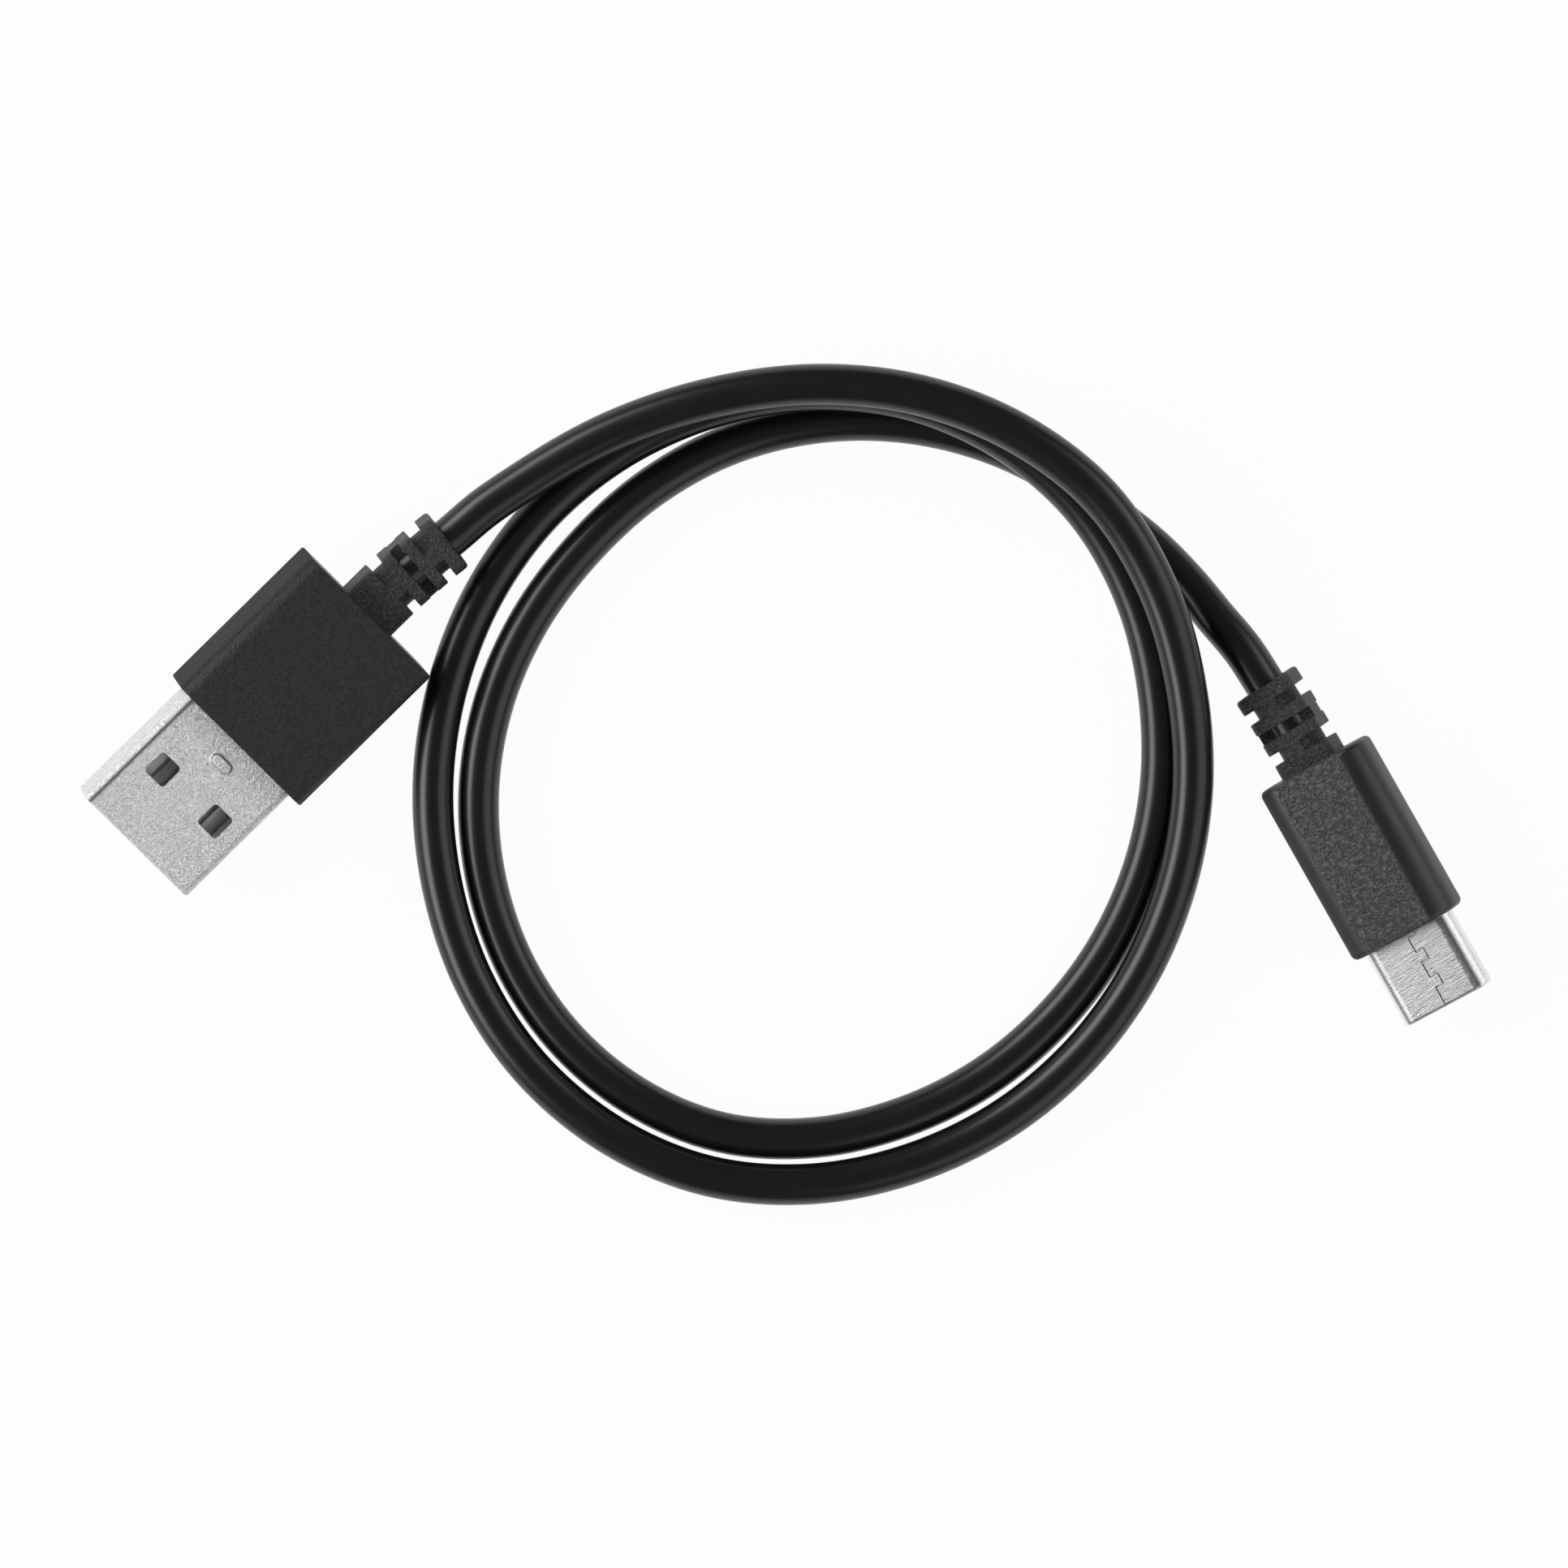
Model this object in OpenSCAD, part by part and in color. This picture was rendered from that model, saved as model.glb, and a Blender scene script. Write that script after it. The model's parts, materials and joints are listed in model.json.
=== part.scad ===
// A short charging cable: a wide flat plug for the charger, a slim oval plug for the phone, and a
// round cord that lies in loops between them. Millimetres, +Z up. The cable lies on the plane
// z = 0, and the origin is on that plane, under the middle of the two plugs.
// Each plug is drawn in a frame of its own: +X is the way it goes in, +Z is its upper face, and
// the frame's origin is the middle of the grip's rear face. Both plugs lie tilted on one edge.

/* [Cord] */
// Outer diameter of the jacket
cord_d = 3.4; // [3.2:0.1:3.4]
// Wall of the jacket
jacket_wall = 0.4; // [0.36:0.02:0.42]
// Diameter of one insulated wire
wire_d = 0.84; // [0.7:0.02:0.84]
// Rings of the tube in one turn of the loops
rings_per_turn = 24; // [24:24:48]

/* [Strain reliefs] */
// Width of a strain relief
relief_w = 5.2; // [4.9:0.1:5.8]
// Height of a strain relief
relief_h = 4.1; // [4.1:0.1:4.5]
// Radius along the relief's long edges
relief_corner = 0.9; // [0.5:0.1:1.2]
// Diameter of the core left round the jacket in the notches
relief_core_d = 4; // [4:0.02:4.06]
// Length of a side notch
notch_l = 1; // [0.8:0.1:1.2]
// Length of the block between the notches
block_l = 3; // [2.8:0.05:3.6]
// Width of the slot across the middle of the block
slot_l = 0.9; // [0.6:0.1:1.2]
// Length of the outer collar
end_collar_l = 1.3; // [1:0.05:1.8]
// Width of the two webs that bridge a notch, above and below the cord
notch_web = 1.4; // [1:0.1:2]
// Height of the two bars that bridge the slot, beside the cord
slot_bar_h = 1.9; // [1.6:0.1:2.4]

/* [Charger plug grip] */
// Width of the grip
charger_grip_w = 14.2; // [14.2:0.1:15.5]
// Height of the grip
charger_grip_h = 7.2; // [7:0.1:8]
// Length of the grip
charger_grip_l = 15.1; // [15:0.1:17]
// Radius along the grip's long edges
charger_grip_corner = 1.2; // [0.8:0.1:1.4]
// Length of the relief's collar at the grip
charger_collar_l = 2.65; // [2:0.05:3]

/* [Charger plug shell] */
// Width of the steel shell
charger_shell_w = 12; // [12:0.1:12]
// Height of the steel shell
charger_shell_h = 4.5; // [4.5:0.1:4.5]
// How far the shell stands out of the grip
charger_shell_reach = 11.9; // [11.8:0.1:12.6]
// Sheet thickness of the shell
charger_sheet = 0.3; // [0.25:0.05:0.35]
// Side of a square latch window
window_side = 2.2; // [2:0.1:2.5]
// Distance between the middles of the two latch windows
window_spacing = 6.2; // [6:0.1:6.8]
// Distance from the front rim to the middle of the windows
window_setback = 6.1; // [5.5:0.1:7]

/* [Phone plug grip] */
// Width of the grip
phone_grip_w = 10.2; // [9.8:0.1:11]
// Height of the grip
phone_grip_h = 5.6; // [5.6:0.1:6.4]
// Length of the grip
phone_grip_l = 15.9; // [15.5:0.1:17]
// Radius along the grip's long edges
phone_grip_corner = 2.3; // [1.8:0.1:2.5]
// Length of the relief's collar at the grip
phone_collar_l = 1.35; // [1:0.05:2.4]

/* [Phone plug shell] */
// Width of the steel shell
phone_shell_w = 8.34; // [8.34:0.01:8.34]
// Height of the steel shell
phone_shell_h = 2.56; // [2.56:0.01:2.56]
// How far the shell stands out of the grip
phone_shell_reach = 6.8; // [6.6:0.05:7.2]
// Sheet thickness of the shell
phone_sheet = 0.2; // [0.15:0.05:0.25]

/* [Hidden] */
$fn = 32;

RUBBER = [0.16, 0.16, 0.165];
STEEL = [0.78, 0.79, 0.8];
GOLD = [0.83, 0.68, 0.35];
SOLDER = [0.66, 0.67, 0.69];
BLACK_PLASTIC = [0.08, 0.08, 0.085];
MILKY_PLASTIC = [0.85, 0.85, 0.82];
BOARD_GREEN = [0.05, 0.3, 0.16];
RED = [0.75, 0.08, 0.07];
WHITE = [0.92, 0.92, 0.9];
GREEN = [0.08, 0.5, 0.2];
BLACK = [0.05, 0.05, 0.055];

// Play between round or faceted pieces of one body
fit_gap = 0.05;
// How far a cut runs past the face that it opens
through = 0.2;

// ---- Where the plugs lie --------------------------------------------------------------------

charger_heading = 224.6;
charger_tilt = -16;
phone_heading = -60.5;
phone_tilt = 23;
// Turn of the relief at each of its two notches
charger_bend = -3.2;
phone_bend = 1.75;

// Height of a grip's axis when it rests on the rounded edge that its tilt lowers
function axis_height(w, h, corner, tilt) =
    (w / 2 - corner) * sin(abs(tilt)) + (h / 2 - corner) * cos(tilt) + corner;

charger_rear = [
    -34.3, 13.1, axis_height(charger_grip_w, charger_grip_h, charger_grip_corner, charger_tilt)
];
phone_rear = [
    43.6, 0.6, axis_height(phone_grip_w, phone_grip_h, phone_grip_corner, phone_tilt)
];

function backward(heading) = [-cos(heading), -sin(heading), 0];
function turned_z(p, a) = [p.x * cos(a) - p.y * sin(a), p.x * sin(a) + p.y * cos(a), p.z];
function turned_x(p, a) = [p.x, p.y * cos(a) - p.z * sin(a), p.y * sin(a) + p.z * cos(a)];
// A point of a plug's own frame, on the table
function on_table(p, rear, heading, tilt) = rear + turned_z(turned_x(p, tilt), heading);

// The relief bends at the middle of its two notches: the near one by the grip, and the far one
function near_bend(rear, heading, collar) = rear + (collar + notch_l / 2) * backward(heading);
function far_bend(near, heading) = near + (block_l + notch_l) * backward(heading);
function relief_end(far, heading) = far + (notch_l / 2 + end_collar_l) * backward(heading);

charger_near = near_bend(charger_rear, charger_heading, charger_collar_l);
charger_far = far_bend(charger_near, charger_heading + charger_bend);
charger_exit = relief_end(charger_far, charger_heading + 2 * charger_bend);
phone_near = near_bend(phone_rear, phone_heading, phone_collar_l);
phone_far = far_bend(phone_near, phone_heading + phone_bend);
phone_exit = relief_end(phone_far, phone_heading + 2 * phone_bend);

// ---- Route of the cord ----------------------------------------------------------------------

loop_centre = [2.5, -1.05, 0];
first_bearing = 135;
stations_per_turn = 12;
// Radius and height of the cord's middle at each twelfth of a turn, clockwise as seen from above.
// The outer turn starts high, from the charger plug, crosses the other two at the top right and
// comes down beside the inner turn, which passes over the end stretch once.
lying = cord_d / 2;
outer_turn = [
    [34.6, 5.7], [32.7, 7.7], [32.9, 9.1], [33.1, 9], [31.5, 7], [30.9, 4.7],
    [31.3, 3.1], [32.3, 2.6], [33.5, 2.7], [33.1, 2.7], [31.8, 3], [31.3, 2.4]
];
inner_turn = [
    [31.7, 2.3], [32.1, 3.85], [32.5, 5.3], [31.6, 5.4], [29.3, 3.8], [28, 2.2],
    [27.7, lying], [28.5, lying], [29.8, lying], [29.4, lying], [28.2, lying], [27.3, lying]
];
end_stretch = [[27.2, lying], [28.8, lying], [30.8, lying], [32.9, lying]];
// These two only steer the ends of the curve
before_loops = [39.4, 5];
after_loops = [34.6, lying];
loop_stations = concat([before_loops], outer_turn, inner_turn, end_stretch, [after_loops]);
loop_steps = (len(loop_stations) - 3) / stations_per_turn * rings_per_turn;

// Smooth curve through four values, between the second and the third
function smooth(a, b, c, d, t) =
    (2 * b + (c - a) * t + (2 * a - 5 * b + 4 * c - d) * t * t + (3 * b - a - 3 * c + d) * t * t * t) / 2;
function station(s, k) =
    let (i = min(floor(s), len(loop_stations) - 4))
    smooth(loop_stations[i][k], loop_stations[i + 1][k], loop_stations[i + 2][k],
        loop_stations[i + 3][k], s - i);
// A point of the loops after a number of twelfths of a turn
function loop_point(s) =
    let (r = station(s, 0), bearing = first_bearing - s * 360 / stations_per_turn)
    loop_centre + [r * cos(bearing), r * sin(bearing), max(station(s, 1), cord_d / 2)];
function unit(v) = v / norm(v);
loop_points = [for (i = [0:loop_steps]) loop_point(i * stations_per_turn / rings_per_turn)];
slight = 0.01;
last_station = len(loop_stations) - 3;
loops_start_way = unit(loop_point(slight) - loop_point(0));
loops_end_way = unit(loop_point(last_station) - loop_point(last_station - slight));
loops_start = loop_points[0] - cord_d * loops_start_way;
loops_end = loop_points[loop_steps] + cord_d * loops_end_way;
loops_route = concat([loops_start], loop_points, [loops_end]);

// The jacket parts inside each strain relief, at the far bend
parting = 0.1;
charger_exit_way = backward(charger_heading + 2 * charger_bend);
phone_exit_way = backward(phone_heading + 2 * phone_bend);
charger_tail_route = [
    charger_far + parting * charger_exit_way, charger_exit,
    loops_start - cord_d / 2 * loops_start_way, loops_start
];
phone_tail_points = [[33.4, 15.35, 2.5], [35.5, 12.75, 3.3]];
phone_tail_route = concat(
    [loops_end, loops_end + cord_d / 2 * loops_end_way],
    phone_tail_points,
    [phone_exit + cord_d * phone_exit_way, phone_exit, phone_far + parting * phone_exit_way]
);
wire_route = concat(
    [charger_tail_route[0], charger_tail_route[1]],
    loops_route,
    [for (i = [1:len(phone_tail_route) - 1]) phone_tail_route[i]]
);

// Least distance between two turns of the cord, less its diameter
fine_points = [for (s = [0:0.125:last_station]) loop_point(s)];
far_apart = 32;
least_gap = min([
    for (i = [0:len(fine_points) - far_apart - 1])
        for (j = [i + far_apart:len(fine_points) - 1])
            norm(fine_points[i] - fine_points[j])
]) - cord_d;
route_length = norm(charger_exit - loops_start) + sum_of_steps(fine_points) + 2 * cord_d
    + sum_of_steps([for (i = [0:len(phone_tail_route) - 2]) phone_tail_route[i]]);
function sum_of_steps(points) =
    [for (i = [1:len(points) - 1]) norm(points[i] - points[i - 1])]
    * [for (i = [1:len(points) - 1]) 1];

// ---- Swept tubes ----------------------------------------------------------------------------

function way(route, i) = unit(route[min(i + 1, len(route) - 1)] - route[max(i - 1, 0)]);
function sideways(w) = unit(cross([0, 0, 1], w));
// A point beside the route: across is level, above is square to the route and to that
function beside(route, i, across, above) =
    let (w = way(route, i), s = sideways(w)) route[i] + across * s + above * cross(w, s);
function ring_about(p, w, radius, sides) =
    let (s = sideways(w), u = cross(w, s))
    [for (k = [0:sides - 1]) let (a = 90 + k * 360 / sides) p + radius * (cos(a) * s + sin(a) * u)];
function skin_faces(rings, sides, first, inward) = [
    for (i = [0:rings - 2]) for (k = [0:sides - 1])
        let (a = first + i * sides + k, b = first + i * sides + (k + 1) % sides)
        for (f = inward ? [[a, b, b + sides], [a, b + sides, a + sides]]
            : [[a, b + sides, b], [a, a + sides, b + sides]]) f
];

// Solid tube of flat sides along a route
module solid_tube(route, radius, sides) {
    rings = len(route);
    last = (rings - 1) * sides;
    points = [for (i = [0:rings - 1]) each ring_about(route[i], way(route, i), radius, sides)];
    faces = concat(
        skin_faces(rings, sides, 0, false),
        [for (k = [1:sides - 2]) [0, k, k + 1]],
        [for (k = [1:sides - 2]) [last, last + k + 1, last + k]]
    );
    polyhedron(points, faces, convexity = 10);
}

// Hollow tube of flat sides along a route
module hollow_tube(route, radius, bore_radius, sides) {
    rings = len(route);
    inner = rings * sides;
    last = (rings - 1) * sides;
    points = concat(
        [for (i = [0:rings - 1]) each ring_about(route[i], way(route, i), radius, sides)],
        [for (i = [0:rings - 1]) each ring_about(route[i], way(route, i), bore_radius, sides)]
    );
    faces = concat(
        skin_faces(rings, sides, 0, false),
        skin_faces(rings, sides, inner, true),
        [for (k = [0:sides - 1]) let (n = (k + 1) % sides) each
            [[k, n, inner + n], [k, inner + n, inner + k]]],
        [for (k = [0:sides - 1]) let (n = (k + 1) % sides) each
            [[last + k, inner + last + n, last + n], [last + k, inner + last + k, inner + last + n]]]
    );
    polyhedron(points, faces, convexity = 10);
}

jacket_bore_r = cord_d / 2 - jacket_wall;
tail_sides = 8;
loop_sides = 6;
wire_sides = 6;
// Distance of each wire's middle from the cord's, across and up
wire_offset = (wire_d + fit_gap) / 2;

module jacket(route, sides) {
    hollow_tube(route, cord_d / 2, jacket_bore_r, sides);
}

module cord_tail_charger_end() {
    color(RUBBER) jacket(charger_tail_route, tail_sides);
}

module cord_loops() {
    echo(least_gap_between_turns_mm = least_gap, cord_between_reliefs_mm = route_length);
    color(RUBBER) jacket(loops_route, loop_sides);
}

module cord_tail_phone_end() {
    color(RUBBER) jacket(phone_tail_route, tail_sides);
}

module long_wire(across, above) {
    route = [for (i = [0:len(wire_route) - 1])
        beside(wire_route, i, across * wire_offset, above * wire_offset)];
    solid_tube(route, wire_d / 2, wire_sides);
}

module red_wire() {
    color(RED) long_wire(1, 1);
}

module black_wire() {
    color(BLACK) long_wire(-1, 1);
}

module white_wire() {
    color(WHITE) long_wire(1, -1);
}

module green_wire() {
    color(GREEN) long_wire(-1, -1);
}

// ---- Sections and bars ----------------------------------------------------------------------

module rounded_section(w, h, corner) {
    square([w - 2 * corner, h], center = true);
    square([w, h - 2 * corner], center = true);
    for (x = [-1, 1]) {
        for (y = [-1, 1]) {
            translate([x * (w / 2 - corner), y * (h / 2 - corner)]) circle(corner);
        }
    }
}

module oval_section(w, h) {
    square([w - h, h], center = true);
    for (x = [-1, 1]) {
        translate([x * (w - h) / 2, 0]) circle(d = h);
    }
}

// The section drawn by the children, run along X
module bar(x0, x1) {
    translate([x0, 0, 0]) rotate([90, 0, 90]) linear_extrude(x1 - x0) children();
}

module box(x0, x1, y0, y1, z0, z1) {
    translate([x0, y0, z0]) cube([x1 - x0, y1 - y0, z1 - z0]);
}

module in_plug_frame(rear, heading, tilt) {
    translate(rear) rotate([0, 0, heading]) rotate([tilt, 0, 0]) children();
}

module in_charger_plug() {
    in_plug_frame(charger_rear, charger_heading, charger_tilt) children();
}

module in_phone_plug() {
    in_plug_frame(phone_rear, phone_heading, phone_tilt) children();
}

// ---- Strain relief --------------------------------------------------------------------------

relief_bore_d = cord_d + 0.16;
// How far the two halves of a notch run into each other at the bend
bend_lap = 0.15;
// How much slimmer the block's halves of the notches are than the collars', on every side, so
// that no edge of one runs into the same edge of the other
lap_inset = 0.02;

// The skin round the jacket has eight flat sides, as the jacket's own tube has
module eight_sided(diameter) {
    rotate(180 / tail_sides) circle(d = diameter, $fn = tail_sides);
}

// Section of a side notch: the core with a web above and below it
module notch_section(inset = 0) {
    eight_sided(relief_core_d - 2 * inset);
    square([notch_web - 2 * inset, relief_h - 2 * inset], center = true);
}

// Section of the slot in the block: it is cut down to the jacket, and leaves a bar on each side
module slot_section() {
    square([relief_w, slot_bar_h], center = true);
}

module relief_section() {
    rounded_section(relief_w, relief_h, relief_corner);
}

module relief_bore(length, inset = 0) {
    bar(-length - through, bend_lap + through) eight_sided(relief_bore_d + 2 * inset);
}

// The collar that grows out of the grip, with the near half of the first notch
module grip_collar(length) {
    notch_end = -length - notch_l / 2 - bend_lap;
    difference() {
        union() {
            bar(-length, 0) relief_section();
            bar(notch_end, -length) notch_section();
        }
        relief_bore(-notch_end);
    }
}

// The block between the two bends: half a notch, the slotted block and half a notch
module relief_block() {
    front = -notch_l / 2;
    back = front - block_l;
    slot_front = front - (block_l - slot_l) / 2;
    difference() {
        union() {
            bar(front, bend_lap) notch_section(lap_inset);
            bar(slot_front, front) relief_section();
            bar(slot_front - slot_l, slot_front) slot_section();
            bar(back, slot_front - slot_l) relief_section();
            bar(back - notch_l / 2 - bend_lap, back) notch_section(lap_inset);
        }
        relief_bore(block_l + notch_l + bend_lap, lap_inset);
    }
}

// The collar at the cord's end, with the far half of the second notch
module end_collar() {
    difference() {
        union() {
            bar(-notch_l / 2, bend_lap) notch_section();
            bar(-notch_l / 2 - end_collar_l, -notch_l / 2) relief_section();
        }
        relief_bore(notch_l / 2 + end_collar_l);
    }
}

// The relief is straight between its two bends, in the middle of its two notches
module strain_relief(rear, near, far, heading, bend, tilt, collar) {
    color(RUBBER) {
        in_plug_frame(rear, heading, tilt) grip_collar(collar);
        in_plug_frame(near, heading + bend, tilt) relief_block();
        in_plug_frame(far, heading + 2 * bend, tilt) end_collar();
    }
}

// ---- Pieces that both plugs have ------------------------------------------------------------

crimp_start = 1.2;
jacket_cut = 3;

// The jacket's last stretch, through the relief and into the plug
function jacket_end_route(rear, near, far, heading, bend, tilt) = [
    far - parting * backward(heading + bend), near, rear, on_table([jacket_cut, 0, 0], rear, heading, tilt)
];

// One lead: it runs on inside the jacket, and then fans out to its solder joint
module lead(jacket_route, side, above, fan, rear, heading, tilt) {
    inside = [for (i = [0:len(jacket_route) - 1])
        beside(jacket_route, i, side * wire_offset, above * wire_offset)];
    outside = [for (p = fan) on_table(p, rear, heading, tilt)];
    solid_tube(concat(inside, outside), wire_d / 2, wire_sides);
}

// Outside of the sheet barrel that is crimped on the jacket
function crimp_d(sheet) = relief_bore_d + 2 * sheet;

// Half-round bead of solder on a flat tail; up is 1 above the tail and -1 below it
module solder_bead(x, y, z, up) {
    intersection() {
        translate([0, y, z]) bar(x, x + bead_l) circle(d = wire_d);
        box(x, x + bead_l, y - wire_d, y + wire_d, up > 0 ? z : z - wire_d, up > 0 ? z + wire_d : z);
    }
}

bead_l = 0.9;

// ---- Charger plug ---------------------------------------------------------------------------

charger_front = charger_grip_l + charger_shell_reach;
charger_shell_back = 9.2;
charger_shell_corner = 0.5;
charger_can_back = 4.4;
charger_can_w = 11;
charger_can_h = charger_shell_h;
mould_start = 0.8;
charger_mould_front = 12.5;
charger_mould_w = charger_shell_w + 1;
charger_mould_h = charger_shell_h + 1.2;
tongue_setback = 0.4;
tongue_block_front = 14.5;
charger_inner_w = charger_shell_w - 2 * charger_sheet;
charger_inner_h = charger_shell_h - 2 * charger_sheet;
charger_inner_corner = charger_shell_corner - charger_sheet;
tongue_t = 1.85;
tongue_top = -charger_inner_h / 2 + tongue_t;
contact_w = 1;
contact_t = 0.25;
contact_proud = 0.1;
contact_top = tongue_top + contact_proud;
contact_tail = 6.8;
outer_contact_y = 3.5;
inner_contact_y = 1;
outer_contact_front = charger_front - 1.2;
inner_contact_front = charger_front - 2.2;
dimple_l = 2;
dimple_w = 0.95;
dimple_proud = 0.12;
dimple_setback = 9.8;
grip_hole_gap = 0.02;

module charger_shell_section() {
    rounded_section(charger_shell_w, charger_shell_h, charger_shell_corner);
}

module charger_inner_section(gap) {
    rounded_section(charger_inner_w - gap, charger_inner_h - gap, charger_inner_corner);
}

module charger_plug_grip() {
    color(RUBBER) in_charger_plug() difference() {
        bar(0, charger_grip_l) rounded_section(charger_grip_w, charger_grip_h, charger_grip_corner);
        box(mould_start, charger_mould_front, -charger_mould_w / 2, charger_mould_w / 2,
            -charger_mould_h / 2, charger_mould_h / 2);
        bar(charger_mould_front - through, charger_grip_l + through)
            rounded_section(charger_shell_w + grip_hole_gap, charger_shell_h + grip_hole_gap,
                charger_shell_corner);
        bar(-through, mould_start + through) circle(d = relief_bore_d);
    }
}

module charger_plug_strain_relief() {
    strain_relief(charger_rear, charger_near, charger_far, charger_heading, charger_bend,
        charger_tilt, charger_collar_l);
}

module charger_plug_inner_mould() {
    color(MILKY_PLASTIC) in_charger_plug() difference() {
        box(mould_start, charger_mould_front, -charger_mould_w / 2, charger_mould_w / 2,
            -charger_mould_h / 2, charger_mould_h / 2);
        bar(mould_start - through, charger_can_back + through)
            circle(d = crimp_d(charger_sheet) + 2 * fit_gap);
        box(charger_can_back, charger_shell_back + through, -charger_can_w / 2, charger_can_w / 2,
            -charger_can_h / 2, charger_can_h / 2);
        bar(charger_shell_back, charger_mould_front + through)
            rounded_section(charger_shell_w + grip_hole_gap, charger_shell_h + grip_hole_gap,
                charger_shell_corner);
    }
}

// Sheet cover over the solder joints, with its barrel round the jacket
module charger_plug_rear_can() {
    inner_w = charger_can_w - 2 * charger_sheet;
    inner_h = charger_can_h - 2 * charger_sheet;
    color(STEEL) in_charger_plug() difference() {
        union() {
            bar(crimp_start, charger_can_back + charger_sheet) circle(d = crimp_d(charger_sheet));
            box(charger_can_back, charger_shell_back, -charger_can_w / 2, charger_can_w / 2,
                -charger_can_h / 2, charger_can_h / 2);
        }
        bar(crimp_start - through, charger_can_back + 2 * charger_sheet) circle(d = relief_bore_d);
        box(charger_can_back + charger_sheet, charger_shell_back + through,
            -inner_w / 2, inner_w / 2, -inner_h / 2, inner_h / 2);
    }
}

module latch_window(y) {
    window_corner = 0.35;
    translate([charger_front - window_setback, y, -charger_shell_h])
        linear_extrude(2 * charger_shell_h)
            rounded_section(window_side, window_side, window_corner);
}

module charger_plug_shell() {
    color(STEEL) in_charger_plug() {
        difference() {
            bar(charger_shell_back, charger_front) charger_shell_section();
            bar(charger_shell_back - through, charger_front + through) charger_inner_section(0);
            for (y = [-1, 1]) {
                latch_window(y * window_spacing / 2);
            }
        }
        translate([charger_front - dimple_setback, 0, charger_shell_h / 2 - charger_sheet / 2])
            linear_extrude(charger_sheet / 2 + dimple_proud)
                rotate([0, 0, 90]) oval_section(dimple_l, dimple_w);
    }
}

module flat_contact(y, front) {
    box(contact_tail, front, y - contact_w / 2, y + contact_w / 2, contact_top - contact_t, contact_top);
}

module charger_plug_tongue() {
    color(WHITE) in_charger_plug() difference() {
        intersection() {
            bar(charger_shell_back, charger_front - tongue_setback) charger_inner_section(fit_gap);
            union() {
                box(charger_shell_back, tongue_block_front, -charger_shell_w, charger_shell_w,
                    -charger_shell_h, charger_shell_h);
                box(charger_shell_back, charger_front, -charger_shell_w, charger_shell_w,
                    -charger_shell_h, tongue_top);
            }
        }
        for (y = [-outer_contact_y, outer_contact_y]) {
            flat_contact(y, outer_contact_front);
        }
        for (y = [-inner_contact_y, inner_contact_y]) {
            flat_contact(y, inner_contact_front);
        }
    }
}

module charger_plug_power_contact() {
    color(STEEL) in_charger_plug() flat_contact(-outer_contact_y, outer_contact_front);
}

module charger_plug_data_minus_contact() {
    color(STEEL) in_charger_plug() flat_contact(-inner_contact_y, inner_contact_front);
}

module charger_plug_data_plus_contact() {
    color(STEEL) in_charger_plug() flat_contact(inner_contact_y, inner_contact_front);
}

module charger_plug_ground_contact() {
    color(STEEL) in_charger_plug() flat_contact(outer_contact_y, outer_contact_front);
}

charger_bead_x = contact_tail + 0.6;

module charger_plug_solder_joints() {
    color(SOLDER) in_charger_plug() {
        for (y = [-outer_contact_y, outer_contact_y]) {
            solder_bead(charger_bead_x, y, contact_top, 1);
        }
        for (y = [-inner_contact_y, inner_contact_y]) {
            solder_bead(charger_bead_x, y, contact_top - contact_t, -1);
        }
    }
}

charger_jacket_route = jacket_end_route(charger_rear, charger_near, charger_far, charger_heading,
    charger_bend, charger_tilt);

module charger_plug_jacket_end() {
    color(RUBBER) jacket(charger_jacket_route, tail_sides);
}

// A lead of the charger plug; side is 1 on the plug's left and -1 on its right. The upper leads
// lie on the outer tails, and the lower ones lie under the inner tails.
module charger_lead(side, above) {
    y = side * (above > 0 ? outer_contact_y : inner_contact_y);
    z = above > 0 ? contact_top + wire_d / 2 : contact_top - contact_t - wire_d / 2;
    fan = [
        [charger_can_back, side * wire_offset, above * wire_offset],
        [contact_tail - 0.2, y, z],
        [charger_bead_x, y, z],
    ];
    lead(charger_jacket_route, side, above, fan, charger_rear, charger_heading, charger_tilt);
}

module charger_plug_red_lead() {
    color(RED) charger_lead(-1, 1);
}

module charger_plug_black_lead() {
    color(BLACK) charger_lead(1, 1);
}

module charger_plug_white_lead() {
    color(WHITE) charger_lead(-1, -1);
}

module charger_plug_green_lead() {
    color(GREEN) charger_lead(1, -1);
}

// ---- Phone plug -----------------------------------------------------------------------------

phone_front = phone_grip_l + phone_shell_reach;
phone_shell_back = 12.6;
phone_can_back = 4.4;
phone_can_w = 8.2;
phone_can_h = 4.1;
phone_mould_front = 14.6;
phone_mould_w = phone_shell_w + 0.3;
phone_mould_h = 4.5;
phone_inner_w = phone_shell_w - 2 * phone_sheet;
phone_inner_h = phone_shell_h - 2 * phone_sheet;
housing_setback = 0.25;
mouth_w = 6.75;
mouth_h = 0.95;
mouth_depth = 5.6;
pin_w = 0.26;
pin_t = 0.15;
pin_pitch = 0.5;
pin_setback = 1.6;
pin_gap = 0.02;
// Places of the pins in each row, counted from the middle in half pitches
upper_pins = [-11, -5, -3, -1, 1, 5, 11];
lower_pins = [-11, -5, 3, 5, 11];
board_back = 6.2;
board_front = 11.8;
board_w = 7.2;
board_t = 0.6;
latch_t = 0.3;
latch_arm_w = 0.3;
latch_arm_y = 3.55;
latch_back = phone_shell_back + 1;
spring_w = 5.4;
spring_l = 2.4;
spring_t = 0.1;
spring_z = 0.8;
resistor_l = 1;
resistor_w = 0.5;
resistor_h = 0.35;
pad_y = 1.4;
phone_bead_x = board_back + 0.9;

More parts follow.
